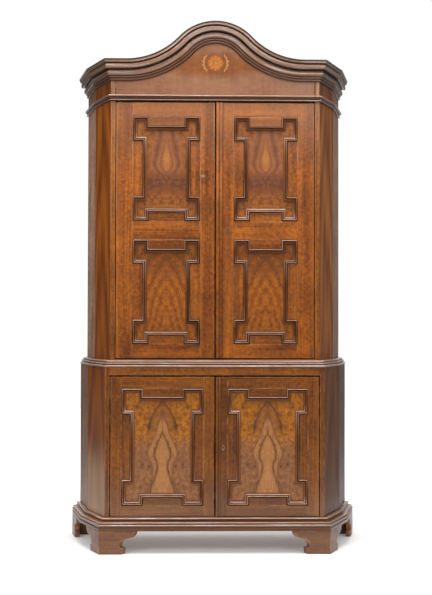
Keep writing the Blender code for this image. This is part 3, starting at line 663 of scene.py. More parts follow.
def plain_board(name, dark, light, roughness):
    """Unpolished inner boards, brushed with old stain."""
    finish = Finish(name)
    *_, bands, streaks, pores = grain_parts(finish)
    wire = finish.wire
    value = bands * 0.6 + streaks * 0.45
    colour = wire.ramp(value, (0.34, dark), (0.70, light))
    colour, gloss, height = aged(finish, colour, streaks, pores, light, 0.6)
    return finish.polish(colour, gloss * 0.5 + roughness, height, 0.0008, 0.0)


def old_metal(name, dark, light, rough, metallic):
    """Hand-worked metal: filed facets, darkened hollows, a few bright rubs."""
    finish = Finish(name)
    wire = finish.wire
    spot = finish.spot()
    blotch = wire.noise(spot, 60.0, 5.0, 0.65)
    scratch = wire.noise(wire.vector("MULTIPLY", spot, (900.0, 900.0, 90.0)), 1.0, 2.0)
    colour = wire.ramp(blotch * 0.8 + scratch * 0.2, (0.35, dark), (0.66, light))
    finish.shader.inputs["Metallic"].default_value = metallic
    return finish.polish(colour, rough + blotch * 0.25, blotch + scratch * 0.3, 0.0003, 0.0)


def inlay_wood(name, dark, light):
    """Pale veneer of the inlay, in fine brown stripes, tinted leaf by leaf."""
    finish = Finish(name)
    wire = finish.wire
    spot = finish.spot()
    stripe = wire.noise(wire.vector("MULTIPLY", spot, (60.0, 60.0, 420.0)), 1.0, 3.0, 0.6)
    colour = wire.ramp(stripe, (0.32, dark), (0.66, light))
    colour = wire.stain(1.0, colour, finish.attribute("tint"))
    return finish.polish(colour, 0.30 + stripe * 0.12, stripe, 0.0001)


FRAME_WALNUT = straight_walnut("frame_walnut", (0.140, 0.037, 0.003), (0.275, 0.077, 0.005),
                               (0.400, 0.125, 0.011), (0.46, 0.19, 0.06), 0.55, 0.45)
SIDE_WALNUT = straight_walnut("side_walnut", (0.110, 0.045, 0.018), (0.200, 0.095, 0.045),
                              (0.290, 0.150, 0.080), (0.36, 0.20, 0.11), 0.25, 0.0, 0.0, 0.12)
FRIEZE_VENEER = frieze_veneer("frieze_veneer")
CANT_WALNUT = cathedral_walnut("cant_walnut", (0.105, 0.026, 0.002), (0.205, 0.056, 0.003),
                               (0.300, 0.092, 0.006), (0.36, 0.15, 0.05))
MOULDING_WALNUT = moulding_walnut("moulding_walnut", (0.080, 0.028, 0.010), (0.160, 0.060, 0.022),
                                  (0.240, 0.098, 0.040), (0.46, 0.28, 0.19), (0.40, 0.80), 0.35, 0.32)
BAND_WALNUT = moulding_walnut("band_walnut", (0.100, 0.035, 0.013), (0.185, 0.070, 0.027),
                              (0.260, 0.105, 0.042), (0.72, 0.56, 0.47), (0.82, 0.98), 0.0, 0.10)
VASE_PANEL = vase_panel("vase_panel")
TEARDROP_PANEL = teardrop_panel("teardrop_panel")
CHEVRON_PANEL = chevron_panel("chevron_panel")
FIGURES = {"low": CHEVRON_PANEL, "high": TEARDROP_PANEL, "": VASE_PANEL}
INNER_BOARD = plain_board("inner_board", (0.20, 0.115, 0.055), (0.42, 0.27, 0.145), 0.45)
LOCK_IRON = old_metal("lock_iron", (0.035, 0.032, 0.030), (0.15, 0.14, 0.13), 0.38, 0.9)
BOLT_BRASS = old_metal("bolt_brass", (0.20, 0.12, 0.04), (0.60, 0.43, 0.18), 0.28, 1.0)
KEY_BRASS = old_metal("key_brass", (0.13, 0.065, 0.030), (0.28, 0.160, 0.090), 0.40, 0.25)
KEYHOLE_SHADE = old_metal("key_bush", (0.004, 0.003, 0.002), (0.014, 0.010, 0.007), 0.55, 0.0)
INLAY_PALE = inlay_wood("inlay_pale", (0.38, 0.155, 0.045), (0.55, 0.265, 0.090))
INLAY_BROWN = inlay_wood("inlay_brown", (0.26, 0.070, 0.010), (0.38, 0.120, 0.020))
INLAY_ORANGE = inlay_wood("inlay_orange", (0.38, 0.105, 0.012), (0.54, 0.185, 0.030))


def grain_frame(along, across):
    """Turns a place into grain coordinates, with a shift of its own for each board."""
    depth = along.cross(across)
    shift = Matrix.Translation([draw.uniform(0, BOARD_SHIFT) for _ in range(3)])
    return shift @ Matrix((along, across, depth)).to_4x4()


def upright_grain():
    return grain_frame(UP, ACROSS)


def level_grain():
    return grain_frame(ACROSS, UP)


def tinted(*colour, spread=0.05):
    """A board's own tint, a little lighter or darker than its neighbours."""
    shade = 1 + draw.uniform(-spread, spread)
    return Vector(colour) * shade


def shaded(shade, tint=(1.0, 1.0, 1.0)):
    """A board's tint at a share of the usual one."""
    return tinted(*(shade * c for c in tint))


def skin(sections):
    """A closed solid through sections of equal point count."""
    solid = bmesh.new()
    rings = [[solid.verts.new(p) for p in section] for section in sections]
    solid.faces.new(rings[0])
    solid.faces.new(rings[-1])
    for ring, following in zip(rings, rings[1:]):
        for i in range(len(ring)):
            solid.faces.new((ring[i - 1], ring[i], following[i], following[i - 1]))
    bmesh.ops.recalc_face_normals(solid, faces=solid.faces)
    return solid


def slab(outline, low, high):
    """A plan outline between two heights."""
    return skin([[(p.x, p.y, z) for p in outline] for z in (low, high)])


def block(low, high):
    """A box between two corners."""
    (x0, y0, z0), (x1, y1, z1) = low, high
    return slab([Vector(p) for p in ((x0, y0), (x1, y0), (x1, y1), (x0, y1))], z0, z1)


def copy_of(node):
    """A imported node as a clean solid: doubles merged, flat facets made whole."""
    solid = bmesh.new()
    solid.from_mesh(NODES[node].data)
    bmesh.ops.remove_doubles(solid, verts=solid.verts, dist=MERGE_GAP)
    bmesh.ops.dissolve_limit(solid, angle_limit=FLAT_EDGE, verts=solid.verts, edges=solid.edges)
    return solid


def mesh_of(solid, name):
    """The mesh of a solid, which is then freed."""
    mesh = bpy.data.meshes.new(name)
    solid.to_mesh(mesh)
    solid.free()
    return mesh


class Work:
    """One piece under construction, made of boards with their own grain, tint and worn edges."""

    def __init__(self):
        self.parts = bmesh.new()
        self.layers(self.parts)

    def layers(self, solid):
        kinds = solid.verts.layers
        return kinds.float_vector.new("grain"), kinds.float_vector.new("tint"), kinds.float.new("wear")

    def board(self, solid, grain, tint, rounding=EDGE_ROUND, rim=1.0):
        """Rounds a solid's edges, marks the worn rim of its faces and adds it to the piece.

        A rim of 0 leaves the faces whole."""
        grain_layer, tint_layer, wear_and_sheen_layer = self.layers(solid)
        sharp = [e for e in solid.edges if e.calc_face_angle(0) > SHARP_EDGE]
        bmesh.ops.bevel(solid, geom=sharp, offset=rounding, segments=2, profile=0.5, affect="EDGES",
                        clamp_overlap=True)
        wide = [f for f in solid.faces if rim and 2 * f.calc_area() > 3 * WORN_RIM * f.calc_perimeter()]
        bmesh.ops.inset_individual(solid, faces=wide, thickness=WORN_RIM, use_even_offset=True)
        inside = {v for f in wide for v in f.verts}
        for v in solid.verts:
            v[grain_layer] = grain @ v.co if isinstance(grain, Matrix) else grain(v.co)
            v[tint_layer] = tint
            v[wear_and_sheen_layer] = 0.0 if v in inside else rim
        mesh = mesh_of(solid, "board")
        self.parts.from_mesh(mesh)
        bpy.data.meshes.remove(mesh)

    def mesh(self, name):
        return mesh_of(self.parts, name)

    def place(self, name, finish, body, slot, *nodes):
        """Puts the finished piece into the scene."""
        place(name, self.mesh(name), finish, body, slot, *nodes)


def linked(name, data):
    """A new object in the scene."""
    thing = bpy.data.objects.new(name, data)
    bpy.context.scene.collection.objects.link(thing)
    return thing


def place(name, mesh, finish, body, slot, *nodes):
    """Puts a finished mesh into the scene on its body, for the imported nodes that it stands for."""
    mesh.name = name
    mesh.materials.clear()
    mesh.materials.append(finish)
    mesh.shade_smooth()
    mesh.set_sharp_from_angle(angle=SHARP_EDGE)
    piece = linked(name, mesh)
    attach(piece, body)
    if nodes:
        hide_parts(*nodes)
    return piece


def single_board(name, solid, grain, tint, finish, body, slot, *nodes, rounding=EDGE_ROUND, rim=1.0):
    """A piece that is one board."""
    work = Work()
    work.board(solid, grain, tint, rounding, rim)
    work.place(name, finish, body, slot, *nodes)


def new_tree(name, *inputs):
    """A geometry tree with named inputs, one geometry output, and wires from its inputs."""
    tree = bpy.data.node_groups.new(name, "GeometryNodeTree")
    for label, kind in inputs:
        tree.interface.new_socket(label, in_out="INPUT", socket_type=kind)
    tree.interface.new_socket("Result", in_out="OUTPUT", socket_type="NodeSocketGeometry")
    source = tree.nodes.new("NodeGroupInput")
    return tree, {label: Wire(tree, source.outputs[label]) for label, kind in inputs}


def close_tree(tree, geometry, finish):
    """Ends a tree: instances made real, material set, result out."""
    real = geometry.add("GeometryNodeRealizeInstances", {}, {"Geometry": geometry})
    done = real.add("GeometryNodeSetMaterial", {}, {"Geometry": real, "Material": finish})
    output = tree.nodes.new("NodeGroupOutput")
    tree.links.new(done.socket, output.inputs["Result"])
    return tree


def store(geometry, name, kind, value):
    links = {"Geometry": geometry, "Name": name, "Value": value}
    return geometry.add("GeometryNodeStoreNamedAttribute", {"data_type": kind, "domain": "POINT"}, links)


def named(wire, name, kind):
    return wire.add("GeometryNodeInputNamedAttribute", {"data_type": kind}, {"Name": name}, "Attribute")


def moulding_tree():
    """Sweeps a profile along a path. Each path point says where a metre outwards and upwards leads."""
    tree, given = new_tree("moulding_run", ("Path", "NodeSocketGeometry"), ("Profile", "NodeSocketObject"),
                           ("Closed", "NodeSocketInt"), ("Girth", "NodeSocketFloat"),
                           ("Grain start", "NodeSocketFloat"), ("Tint", "NodeSocketVector"),
                           ("Finish", "NodeSocketMaterial"))
    path = given["Path"]
    settings = {"transform_space": "ORIGINAL"}
    profile = path.add("GeometryNodeObjectInfo", settings, {"Object": given["Profile"]}, "Geometry")

    def count(geometry):
        links = {"Geometry": geometry}
        return path.add("GeometryNodeAttributeDomainSize", {"component": "MESH"}, links, "Point Count")

    stations, ring = count(path), count(profile)
    rows = ring + 1
    links = {"Vertices X": stations + given["Closed"], "Vertices Y": rows}
    grid = path.add("GeometryNodeMeshGrid", {}, links, "Mesh")
    index = path.add("GeometryNodeInputIndex", {}, {})
    column = path.math("FLOOR", (index + 0.5) / rows)
    station = path.math("MODULO", column, stations)
    point = path.math("MODULO", index - column * rows, ring)

    def sample(geometry, kind, value, at):
        links = {"Geometry": geometry, "Value": value, "Index": at}
        return path.add("GeometryNodeSampleIndex", {"data_type": kind, "domain": "POINT"}, links)

    spot = path.add("GeometryNodeInputPosition", {}, {})
    out, _, up = sample(profile, "FLOAT_VECTOR", spot, point).split()
    outward = sample(path, "FLOAT_VECTOR", named(path, "outward", "FLOAT_VECTOR"), station)
    upward = sample(path, "FLOAT_VECTOR", named(path, "upward", "FLOAT_VECTOR"), station)
    aside = path.vector("ADD", path.vector("SCALE", outward, out), path.vector("SCALE", upward, up))
    where = path.vector("ADD", sample(path, "FLOAT_VECTOR", spot, station), aside)
    run = sample(path, "FLOAT", named(path, "run", "FLOAT"), station)
    wrapped = path.math("GREATER_THAN", column + 0.5, stations)
    along = run + wrapped * given["Girth"] + given["Grain start"]
    across = sample(profile, "FLOAT", named(path, "run", "FLOAT"), point) + given["Grain start"]
    wear = sample(profile, "FLOAT", named(path, "wear", "FLOAT"), point)

    swept = path.add("GeometryNodeSetPosition", {}, {"Geometry": grid, "Position": where})
    swept = store(swept, "grain", "FLOAT_VECTOR", path.join(along, across, given["Grain start"]))
    swept = store(swept, "tint", "FLOAT_VECTOR", given["Tint"])
    swept = store(swept, "wear", "FLOAT", wear)
    swept = swept.add("GeometryNodeMergeByDistance", {}, {"Geometry": swept, "Distance": MERGE_GAP})
    return close_tree(tree, swept, given["Finish"])


def repeat_tree():
    """Sets a shape out at marked points, each with its turn and size and a tint drawn from a seed."""
    tree, given = new_tree("repeated_shape", ("Marks", "NodeSocketGeometry"), ("Shape", "NodeSocketObject"),
                           ("Seed", "NodeSocketInt"), ("Palest", "NodeSocketVector"),
                           ("Darkest", "NodeSocketVector"), ("Finish", "NodeSocketMaterial"))
    marks = given["Marks"]
    links = {"Min": given["Darkest"], "Max": given["Palest"], "Seed": given["Seed"]}
    tint = marks.add("FunctionNodeRandomValue", {"data_type": "FLOAT_VECTOR"}, links)
    marked = store(marks, "tint", "FLOAT_VECTOR", tint)
    settings = {"transform_space": "ORIGINAL"}
    shape = marks.add("GeometryNodeObjectInfo", settings, {"Object": given["Shape"]}, "Geometry")
    links = {"Points": marked, "Instance": shape, "Rotation": named(marks, "turn", "FLOAT_VECTOR"),
             "Scale": named(marks, "size", "FLOAT_VECTOR")}
    copies = marks.add("GeometryNodeInstanceOnPoints", {}, links)
    return close_tree(tree, copies, given["Finish"])


MOULDING_TREE = moulding_tree()
REPEAT_TREE = repeat_tree()


def marked_mesh(name, points, **marks):
    """Loose points with named values, as the input of a tree."""
    mesh = bpy.data.meshes.new(name)
    mesh.from_pydata([tuple(p) for p in points], [], [])
    for label, values in marks.items():
        vector = hasattr(values[0], "__len__")
        kind, field = ("FLOAT_VECTOR", "vector") if vector else ("FLOAT", "value")
        layer = mesh.attributes.new(label, kind, "POINT")
        flat = [c for value in values for c in value] if vector else list(values)
        layer.data.foreach_set(field, flat)
    return mesh


def baked(tree, mesh, helpers, **inputs):
    """Runs marked points through a tree and returns the result as a plain mesh."""
    source = linked(tree.name, mesh)
    step = source.modifiers.new(tree.name, "NODES")
    step.node_group = tree
    for item in tree.interface.items_tree:
        key = item.name.lower().replace(" ", "_")
        if key in inputs:
            step[item.identifier] = inputs[key]
    view = bpy.context.evaluated_depsgraph_get()
    made = bpy.data.meshes.new_from_object(source.evaluated_get(view))
    for thing in (source, *helpers):
        bpy.data.objects.remove(thing)
    return made


def lengths(points):
    """Running length to each point of a line."""
    total, runs = 0.0, [0.0]
    for one, other in zip(points, points[1:]):
        total += (Vector(other) - Vector(one)).length
        runs.append(total)
    return runs


def swept(name, path, outward, upward, profile, tint, finish, closed=False):
    """A moulding along a path; profile points are (out, up, wear and sheen). Open ends are closed."""
    ring = [(out, 0.0, up) for out, up, wear in profile]
    wear_and_sheen_values = [wear for out, up, wear in profile]
    shape = linked("profile", marked_mesh("profile", ring, run=lengths(ring), wear=wear_and_sheen_values))
    runs = lengths(path)
    girth = runs[-1] + (Vector(path[0]) - Vector(path[-1])).length
    marks = marked_mesh(name, path, outward=outward, upward=upward, run=runs)
    made = baked(MOULDING_TREE, marks, [shape], profile=shape, closed=int(closed), girth=girth,
                 grain_start=draw.uniform(0, BOARD_SHIFT), tint=tint, finish=finish)
    solid = bmesh.new()
    solid.from_mesh(made)
    bmesh.ops.holes_fill(solid, edges=[e for e in solid.edges if e.is_boundary], sides=0)
    bmesh.ops.recalc_face_normals(solid, faces=solid.faces)
    # Painted light by the way a face looks: paler as if lit from above where it looks up, darker where it
    # looks down.
    wear = solid.verts.layers.float["wear"]
    for v in solid.verts:
        v[wear] = min(1.0, v[wear] * (UPRIGHT_SHEEN + UPWARD_SHEEN * v.normal.z))
    solid.to_mesh(made)
    solid.free()
    return made


def arc(start, end, first, steps=6):
    """Points of an elliptic quarter after start, which sets off outwards ("out") or upwards ("up")."""
    points = []
    for i in range(1, steps + 1):
        turn = math.pi / 2 * i / steps
        fast, slow = math.sin(turn), 1 - math.cos(turn)
        out, up = (fast, slow) if first == "out" else (slow, fast)
        points.append((start[0] + (end[0] - start[0]) * out, start[1] + (end[1] - start[1]) * up))
    return points


def with_wear_and_sheen(wear, *points):
    """Profile points with their wear and sheen: 1 on a crest rubbed and painted pale as if lit, 0 in a
    quirk with old soil and painted shade.
    """
    return [(out, up, wear) for out, up in points]


def sized(profile, out, up, rear):
    """A profile from a unit square at its real size, closed behind by a flat back."""
    face = [(x * out, z * up, wear) for x, z, wear in profile]
    return [(rear, face[0][1], 0.5), *face, (rear, face[-1][1], 0.5)]


BASE_PROFILE = [
    *with_wear_and_sheen(0.25, (0.97, 0.0), (0.97, 0.235), (0.955, 0.255)),
    *with_wear_and_sheen(0.0, (0.90, 0.275), (0.90, 0.325)),
    *with_wear_and_sheen(0.4, *arc((0.90, 0.325), (1.0, 0.42), "out")),
    *with_wear_and_sheen(0.7, *arc((1.0, 0.42), (0.90, 0.51), "up")),
    *with_wear_and_sheen(0.0, (0.83, 0.52), (0.82, 0.535), (0.82, 0.56)),
    *with_wear_and_sheen(0.6, *arc((0.82, 0.56), (0.89, 0.63), "out", 4)),
    *with_wear_and_sheen(0.7, *arc((0.89, 0.63), (0.76, 0.70), "up")),
    *with_wear_and_sheen(0.3, (0.69, 0.708)),
    *with_wear_and_sheen(0.42, *arc((0.69, 0.708), (0.30, 0.86), "out", 8)),
    *with_wear_and_sheen(0.0, (0.32, 0.868), (0.39, 0.87)),
    *with_wear_and_sheen(0.7, *arc((0.39, 0.87), (0.47, 0.93), "out", 4), *arc((0.47, 0.93), (0.32, 1.0), "up"))]
WAIST_PROFILE = [
    *with_wear_and_sheen(0.0, (0.86, 0.0), (0.90, 0.01)),
    *with_wear_and_sheen(0.85, *arc((0.90, 0.01), (1.0, 0.13), "out"), *arc((1.0, 0.13), (0.86, 0.28), "up")),
    *with_wear_and_sheen(0.1, (0.75, 0.31), (0.74, 0.40)),
    *with_wear_and_sheen(0.9, (0.79, 0.43), (0.80, 0.46), (0.80, 0.58), (0.78, 0.61)),
    *with_wear_and_sheen(0.1, (0.58, 0.64), (0.56, 0.70)),
    *with_wear_and_sheen(0.55, (0.60, 0.72), *arc((0.60, 0.72), (0.36, 0.93), "up")),
    *with_wear_and_sheen(0.4, (0.12, 1.0))]
ARCHITRAVE_PROFILE = [
    *with_wear_and_sheen(0.2, (0.10, 0.0)),
    *with_wear_and_sheen(0.9, (0.40, 0.02), *arc((0.40, 0.02), (0.55, 0.12), "out")),
    *with_wear_and_sheen(0.9, *arc((0.55, 0.12), (0.42, 0.23), "up")),
    *with_wear_and_sheen(0.0, (0.34, 0.25)),
    *with_wear_and_sheen(0.35, *arc((0.34, 0.25), (0.86, 0.64), "up", 8)),
    *with_wear_and_sheen(0.0, (0.92, 0.66)),
    *with_wear_and_sheen(1.0, *arc((0.92, 0.66), (1.0, 0.77), "out"), *arc((1.0, 0.77), (0.86, 0.90), "up")),
    *with_wear_and_sheen(0.8, (0.20, 1.0))]
CORNICE_PROFILE = [
    *with_wear_and_sheen(0.0, (0.06, 0.0), (0.12, 0.012)),
    *with_wear_and_sheen(0.5, (0.155, 0.03), (0.16, 0.05), (0.16, 0.085)),
    *with_wear_and_sheen(0.0, (0.15, 0.10), (0.12, 0.11), (0.12, 0.125)),
    *with_wear_and_sheen(0.75, (0.16, 0.135), *arc((0.16, 0.135), (0.26, 0.20), "out", 4)),
    *with_wear_and_sheen(0.0, (0.24, 0.215), (0.24, 0.23)),
    *with_wear_and_sheen(0.9, (0.29, 0.24), *arc((0.29, 0.24), (0.45, 0.35), "out")),
    *with_wear_and_sheen(0.9, *arc((0.45, 0.35), (0.34, 0.50), "up")),
    *with_wear_and_sheen(0.0, (0.31, 0.52), (0.33, 0.535), (0.68, 0.545)),
    *with_wear_and_sheen(1.0, (0.74, 0.575), (0.755, 0.60), (0.76, 0.74), (0.75, 0.765)),
    *with_wear_and_sheen(0.0, (0.72, 0.785), (0.73, 0.80), (0.84, 0.83)),
    *with_wear_and_sheen(1.0, (0.90, 0.845), (0.91, 0.86), (0.915, 0.93)),
    *with_wear_and_sheen(0.1, (0.93, 0.945), (1.0, 0.955), (1.0, 0.985), (0.95, 1.0))]
BAND_PROFILE = [
    *with_wear_and_sheen(0.0, (0.02, 0.25), (0.12, 0.40)),
    *with_wear_and_sheen(1.0, *arc((0.12, 0.40), (0.26, 0.92), "up"), *arc((0.26, 0.92), (0.40, 0.62), "out")),
    *with_wear_and_sheen(0.0, (0.44, 0.46), (0.54, 0.46)),
    *with_wear_and_sheen(1.0, (0.60, 0.68), (0.63, 0.72), *arc((0.63, 0.72), (0.93, 0.30), "up", 8)),
    *with_wear_and_sheen(0.0, (0.96, 0.22), (0.98, 0.02))]


def right_path(offset, low, gap=0.0):
    """Path round the right cant and side at a height, with its mitres. A gap shortens its front end."""
    points = [Vector((*p, low)) for p in plan(offset)]
    points[0] += (points[1] - points[0]).normalized() * gap
    return points, [Vector((*s, 0)) for s in PLAN_SHIFT]


def cased_path(offset, low):
    """Path round both sides and the front, from the left tail to the right tail."""
    points, shifts = right_path(offset, low)
    return ([*handed(points[::-1], -1), *points], [*handed(shifts[::-1], -1), *shifts])


def case_moulding(name, node, path, outward, profile, tint, upward=None):
    """A run of polished moulding on the case."""
    mesh = swept(name, path, outward, upward or [UP] * len(path), profile, tint, MOULDING_WALNUT)
    place(name, mesh, MOULDING_WALNUT, "case", "walnut_moulding", node)


def build_feet():
    for end in ("front", "rear"):
        for word, hand in HANDS:
            node = f"{end}_{word}_foot"
            single_board(f"{node}_bracket", copy_of(node), level_grain(), tinted(*FOOT_TINT), FRAME_WALNUT,
                         "case", "walnut", node, rounding=HEAVY_ROUND)


def build_base():
    """The moulded frame over the feet: a front run and two runs round the cants and sides."""
    low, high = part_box("base_front")
    out = FACE["lower"] - low.y
    profile = sized(BASE_PROFILE, out, high.z - low.z, FACE["lower"] - high.y)
    right, shifts = right_path(LOWER_OUT, low.z, JOINT_GAP)
    end = Vector((*plan(LOWER_OUT)[0], low.z))
    runs = [("front", [*handed([end], -1), end], [*handed(shifts[:1], -1), shifts[0]])]
    runs += [(word, handed(right, hand), handed(shifts, hand)) for word, hand in HANDS]
    for word, path, outward in runs:
        case_moulding(f"base_{word}_moulding", f"base_{word}", path, outward, profile, tinted(*BASE_TINT))


def plan_board(offset, low, high, notch=()):
    """A level board over the whole plan, with a notch in its front edge if one is given."""
    right = plan(offset)
    return slab([*right, *handed(right[::-1], -1), *notch], low, high)


def bolt_notch(offset):
    """Outline of the notch that the upper flush bolt slides up into."""
    low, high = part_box("upper_flush_bolt")
    left, right = low.x - BOLT_PLAY, high.x + BOLT_PLAY
    front, back = plan(offset)[0].y, low.y + (high.x - low.x) + BOLT_PLAY
    return [Vector((left, front)), Vector((left, back)), Vector((right, back)), Vector((right, front))]


def moulded_top(node, profile, rear, ceiling, notch=()):
    """A case top: a moulded rim round three sides and the board that it frames."""
    low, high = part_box(node)
    path, shifts = cased_path(0.0, low.z)
    face = sized(profile, CORNER.y - low.y, high.z - low.z, rear)
    case_moulding(f"{node}_moulding", node, path, shifts, face, tinted(*TOP_MOULDING_TINT))
    single_board(f"{node}_board", plan_board(rear - JOINT_GAP, low.z, ceiling, notch), level_grain(),
                 shaded(TOP_BOARD_SHADE), INNER_BOARD, "case", "inner_wood")


def canted_boards(stem, offset, low, high, hand, thickness, *nodes):
    """Veneered board of a canted corner and the side board behind it."""
    front, shoulder, tail = plan(offset)
    front_in, shoulder_in, _ = plan(offset - thickness)
    _, shoulder_lining, tail_lining = plan(offset - SIDE_T)
    gap = (shoulder - front).normalized() * JOINT_GAP
    cant = [front + gap, shoulder, shoulder_in, front_in + gap]
    side = [shoulder, tail, tail_lining, shoulder_lining]
    run = Vector((hand * (shoulder - front).x, (shoulder - front).y, 0)).normalized()
    middle = Vector((hand * (front + shoulder).x / 2, (front + shoulder).y / 2, 0))
    turn = Matrix((UP, run, UP.cross(run))).to_4x4() @ Matrix.Translation(-middle)
    shift = Matrix.Translation((draw.uniform(0, CANT_SHIFT), 0, draw.uniform(0, CANT_SHIFT)))
    single_board(f"{stem}_cant", slab(handed(cant, hand), low, high), shift @ turn,
                 tinted(*CANT_TINTS_AND_LIGHT[stem], spread=0.03), CANT_WALNUT, "case", "walnut", *nodes[:1])
    single_board(f"{stem}_side_board", slab(handed(side, hand), low, high), upright_grain(),
                 tinted(*SIDE_TINTS_AND_LIGHT[stem], spread=0.03), SIDE_WALNUT, "case", "walnut", *nodes[1:])


def build_posts():
    """Front strips of the posts, with a facing on the lower ones, and the boards of the cants and sides."""
    for case, offset in (("upper", 0.0), ("lower", LOWER_OUT)):
        shade = POST_SHADES[case]
        front, front_in = plan(offset)[0], plan(offset - POST_T)[0]
        opening = OPENING[case]
        low, high = (p.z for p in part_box(f"{case}_right_post"))
        for word, hand in HANDS:
            strip = [Vector((opening, front.y)), front, front_in, Vector((opening, front_in.y))]
            work = Work()
            work.board(slab(handed(strip, hand), low, high), upright_grain(), shaded(shade))
            if case == "lower":
                near, far, face = opening + FACING_INSET, front.x - FACING_INSET, front.y - FACING_RISE
                facing = [Vector(p) for p in ((near, face), (far, face), (far, front.y), (near, front.y))]
                work.board(slab(handed(facing, hand), low, high - FACING_DROP), upright_grain(),
                           shaded(shade))
            stem = f"{case}_{word}"
            work.place(f"{stem}_post_strip", FRAME_WALNUT, "case", "walnut", f"{stem}_post")
            canted_boards(stem, offset, low, high, hand, POST_T, f"{stem}_post", f"{stem}_side")


def repeated(mesh, spots, turns, sizes, seed, palest, darkest, finish):
    """Copies of a mesh at given spots, as one mesh. Their tints lie between the palest and the darkest."""
    shape = linked(mesh.name, mesh)
    marks = marked_mesh("spots", spots, turn=turns, size=sizes)
    return baked(REPEAT_TREE, marks, [shape], shape=shape, seed=seed, palest=palest, darkest=darkest,
                 finish=finish)


def domes(spots, radius, seed):
    """Low round heads of nails or screws that face the back."""
    head = bmesh.new()
    bmesh.ops.create_uvsphere(head, u_segments=HEAD_SIDES, v_segments=HEAD_RINGS, radius=radius)
    size = (1, HEAD_FLATNESS, 1)
    return repeated(mesh_of(head, "head"), spots, [(0, 0, 0)] * len(spots), [size] * len(spots), seed,
                    HEAD_PALEST, HEAD_DARKEST, LOCK_IRON)


def build_backs():
    """Upright planks, nailed on in level rows."""
    for case in CASES:
        low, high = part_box(f"{case}_back")
        width = (high.x - low.x) / PLANKS
        tall = high.z - low.z
        work = Work()
        work.board(block((-width / 2 + JOINT_GAP, 0, 0), (width / 2 - JOINT_GAP, high.y - low.y, tall)),
                   upright_grain(), (1.0, 1.0, 1.0))
        middles = [Vector((low.x + width * (i + 0.5), low.y, low.z)) for i in range(PLANKS)]
        mesh = repeated(work.mesh("plank"), middles, [(0, 0, 0)] * PLANKS, [(1, 1, 1)] * PLANKS, 3,
                        PLANK_PALEST, PLANK_DARKEST, INNER_BOARD)
        place(f"{case}_back_planks", mesh, INNER_BOARD, "case", "inner_wood", f"{case}_back")
        rows = NAIL_ROWS[case]
        levels = [low.z + tall * (row + NAIL_START) / (rows - 1 + 2 * NAIL_START) for row in range(rows)]
        spots = [Vector((middle.x + side * width * NAIL_ASIDE, high.y - NAIL_RADIUS * NAIL_SINK, level))
                 for middle in middles for side in (-1, 1) for level in levels]
        place(f"{case}_back_nails", domes(spots, NAIL_RADIUS, 5), LOCK_IRON, "case", "iron")


def build_inner_boards():
    """Bottoms, shelves and the rear rail of the crown, and the rail and sill that show."""
    for node in ("lower_bottom", "lower_shelf", "upper_shelf_low", "upper_shelf_high", "crown_rear_rail"):
        single_board(f"{node}_board", copy_of(node), level_grain(), shaded(INNER_SHADE), INNER_BOARD,
                     "case", "inner_wood", node)
    for node, shade in CROSS_SHADES.items():
        single_board(f"{node}_board", copy_of(node), level_grain(), shaded(shade), FRAME_WALNUT, "case",
                     "walnut", node, rim=0.0)


def build_crown():
    """Frieze with its end strips, the arched cornice, and the returns round the cants."""
    half = OPENING["upper"]
    level, post = level_grain(), upright_grain()
    single_board("frieze_veneer", copy_of("frieze_board"),
                 lambda p: (post if abs(p.x) > half else level) @ p, tinted(1.0, 1.0, 1.0, spread=0.0),
                 FRIEZE_VENEER, "case", "walnut", "frieze_board", rounding=SLIP_ROUND)

    low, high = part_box("crown_right_return")
    cornice_low, cornice_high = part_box("cornice_front")
    out = CORNER.y - cornice_low.y
    tall = high.z - cornice_low.z
    face = sized(CORNICE_PROFILE, out, tall, JOINT_GAP)
    hung = [(x, z - tall, wear) for x, z, wear in face]
    rise = cornice_high.z - high.z
    line_up = arch_line(rise)
    path = [Vector((x, CORNER.y, high.z + lift)) for x, lift, lean in line_up]
    ups = [Vector((-math.sin(lean), 0, math.cos(lean))) for x, lift, lean in line_up]
    end = Vector((CORNER.x, CORNER.y, high.z))
    path = [handed([end], -1)[0], *path, end]
    shift = Vector((*PLAN_SHIFT[0], 0))
    outs = [handed([shift], -1)[0], *[FORWARD] * len(ups), shift]
    case_moulding("arched_cornice", "cornice_front", path, outs, hung, tinted(*CORNICE_TINT),
                  [UP, *ups, UP])

    ring = sized(CORNICE_PROFILE, out, tall, -SIDE_T)
    right, shifts = right_path(0.0, cornice_low.z, JOINT_GAP)
    for word, hand in HANDS:
        case_moulding(f"cornice_{word}_return", f"crown_{word}_return", handed(right, hand),
                      handed(shifts, hand), ring, tinted(*RETURN_SHADE_TINT))
        canted_boards(f"crown_{word}", 0.0, low.z, cornice_low.z - JOINT_GAP, hand, SIDE_T)


def arch_line(rise):
    """Points (x, lift, lean) of the bell arch from left to right, in two arcs a side."""
    radii = (ARCH_HALF ** 2 + rise ** 2) / (2 * rise)
    crown = radii * ARCH_TURN / ARCH_HALF
    foot = radii - crown
    steepest = math.asin(ARCH_HALF / radii)
    turns = [steepest * i / ARCH_STEPS for i in range(ARCH_STEPS + 1)]
    right = [(crown * math.sin(t), rise - crown * (1 - math.cos(t)), -t) for t in turns]
    right += [(ARCH_HALF - foot * math.sin(t), foot * (1 - math.cos(t)), -t) for t in turns[-2::-1]]
    return [(-x, lift, -lean) for x, lift, lean in right[:0:-1]] + right


def petal(length, width, tip):
    """A flat veneer leaf from the origin along +Z, on the plane y = 0, pointed towards its tip."""
    sides = []
    for i in range(LEAF_STEPS + 1):
        t = i / LEAF_STEPS
        sides.append((width / 2 * math.sin(math.pi * t ** tip), length * t))
    outline = sides + [(-x, z) for x, z in sides[-2:0:-1]]
    return skin([[(x, y, z) for x, z in outline] for y in (-VENEER_RISE, VENEER_RISE)])


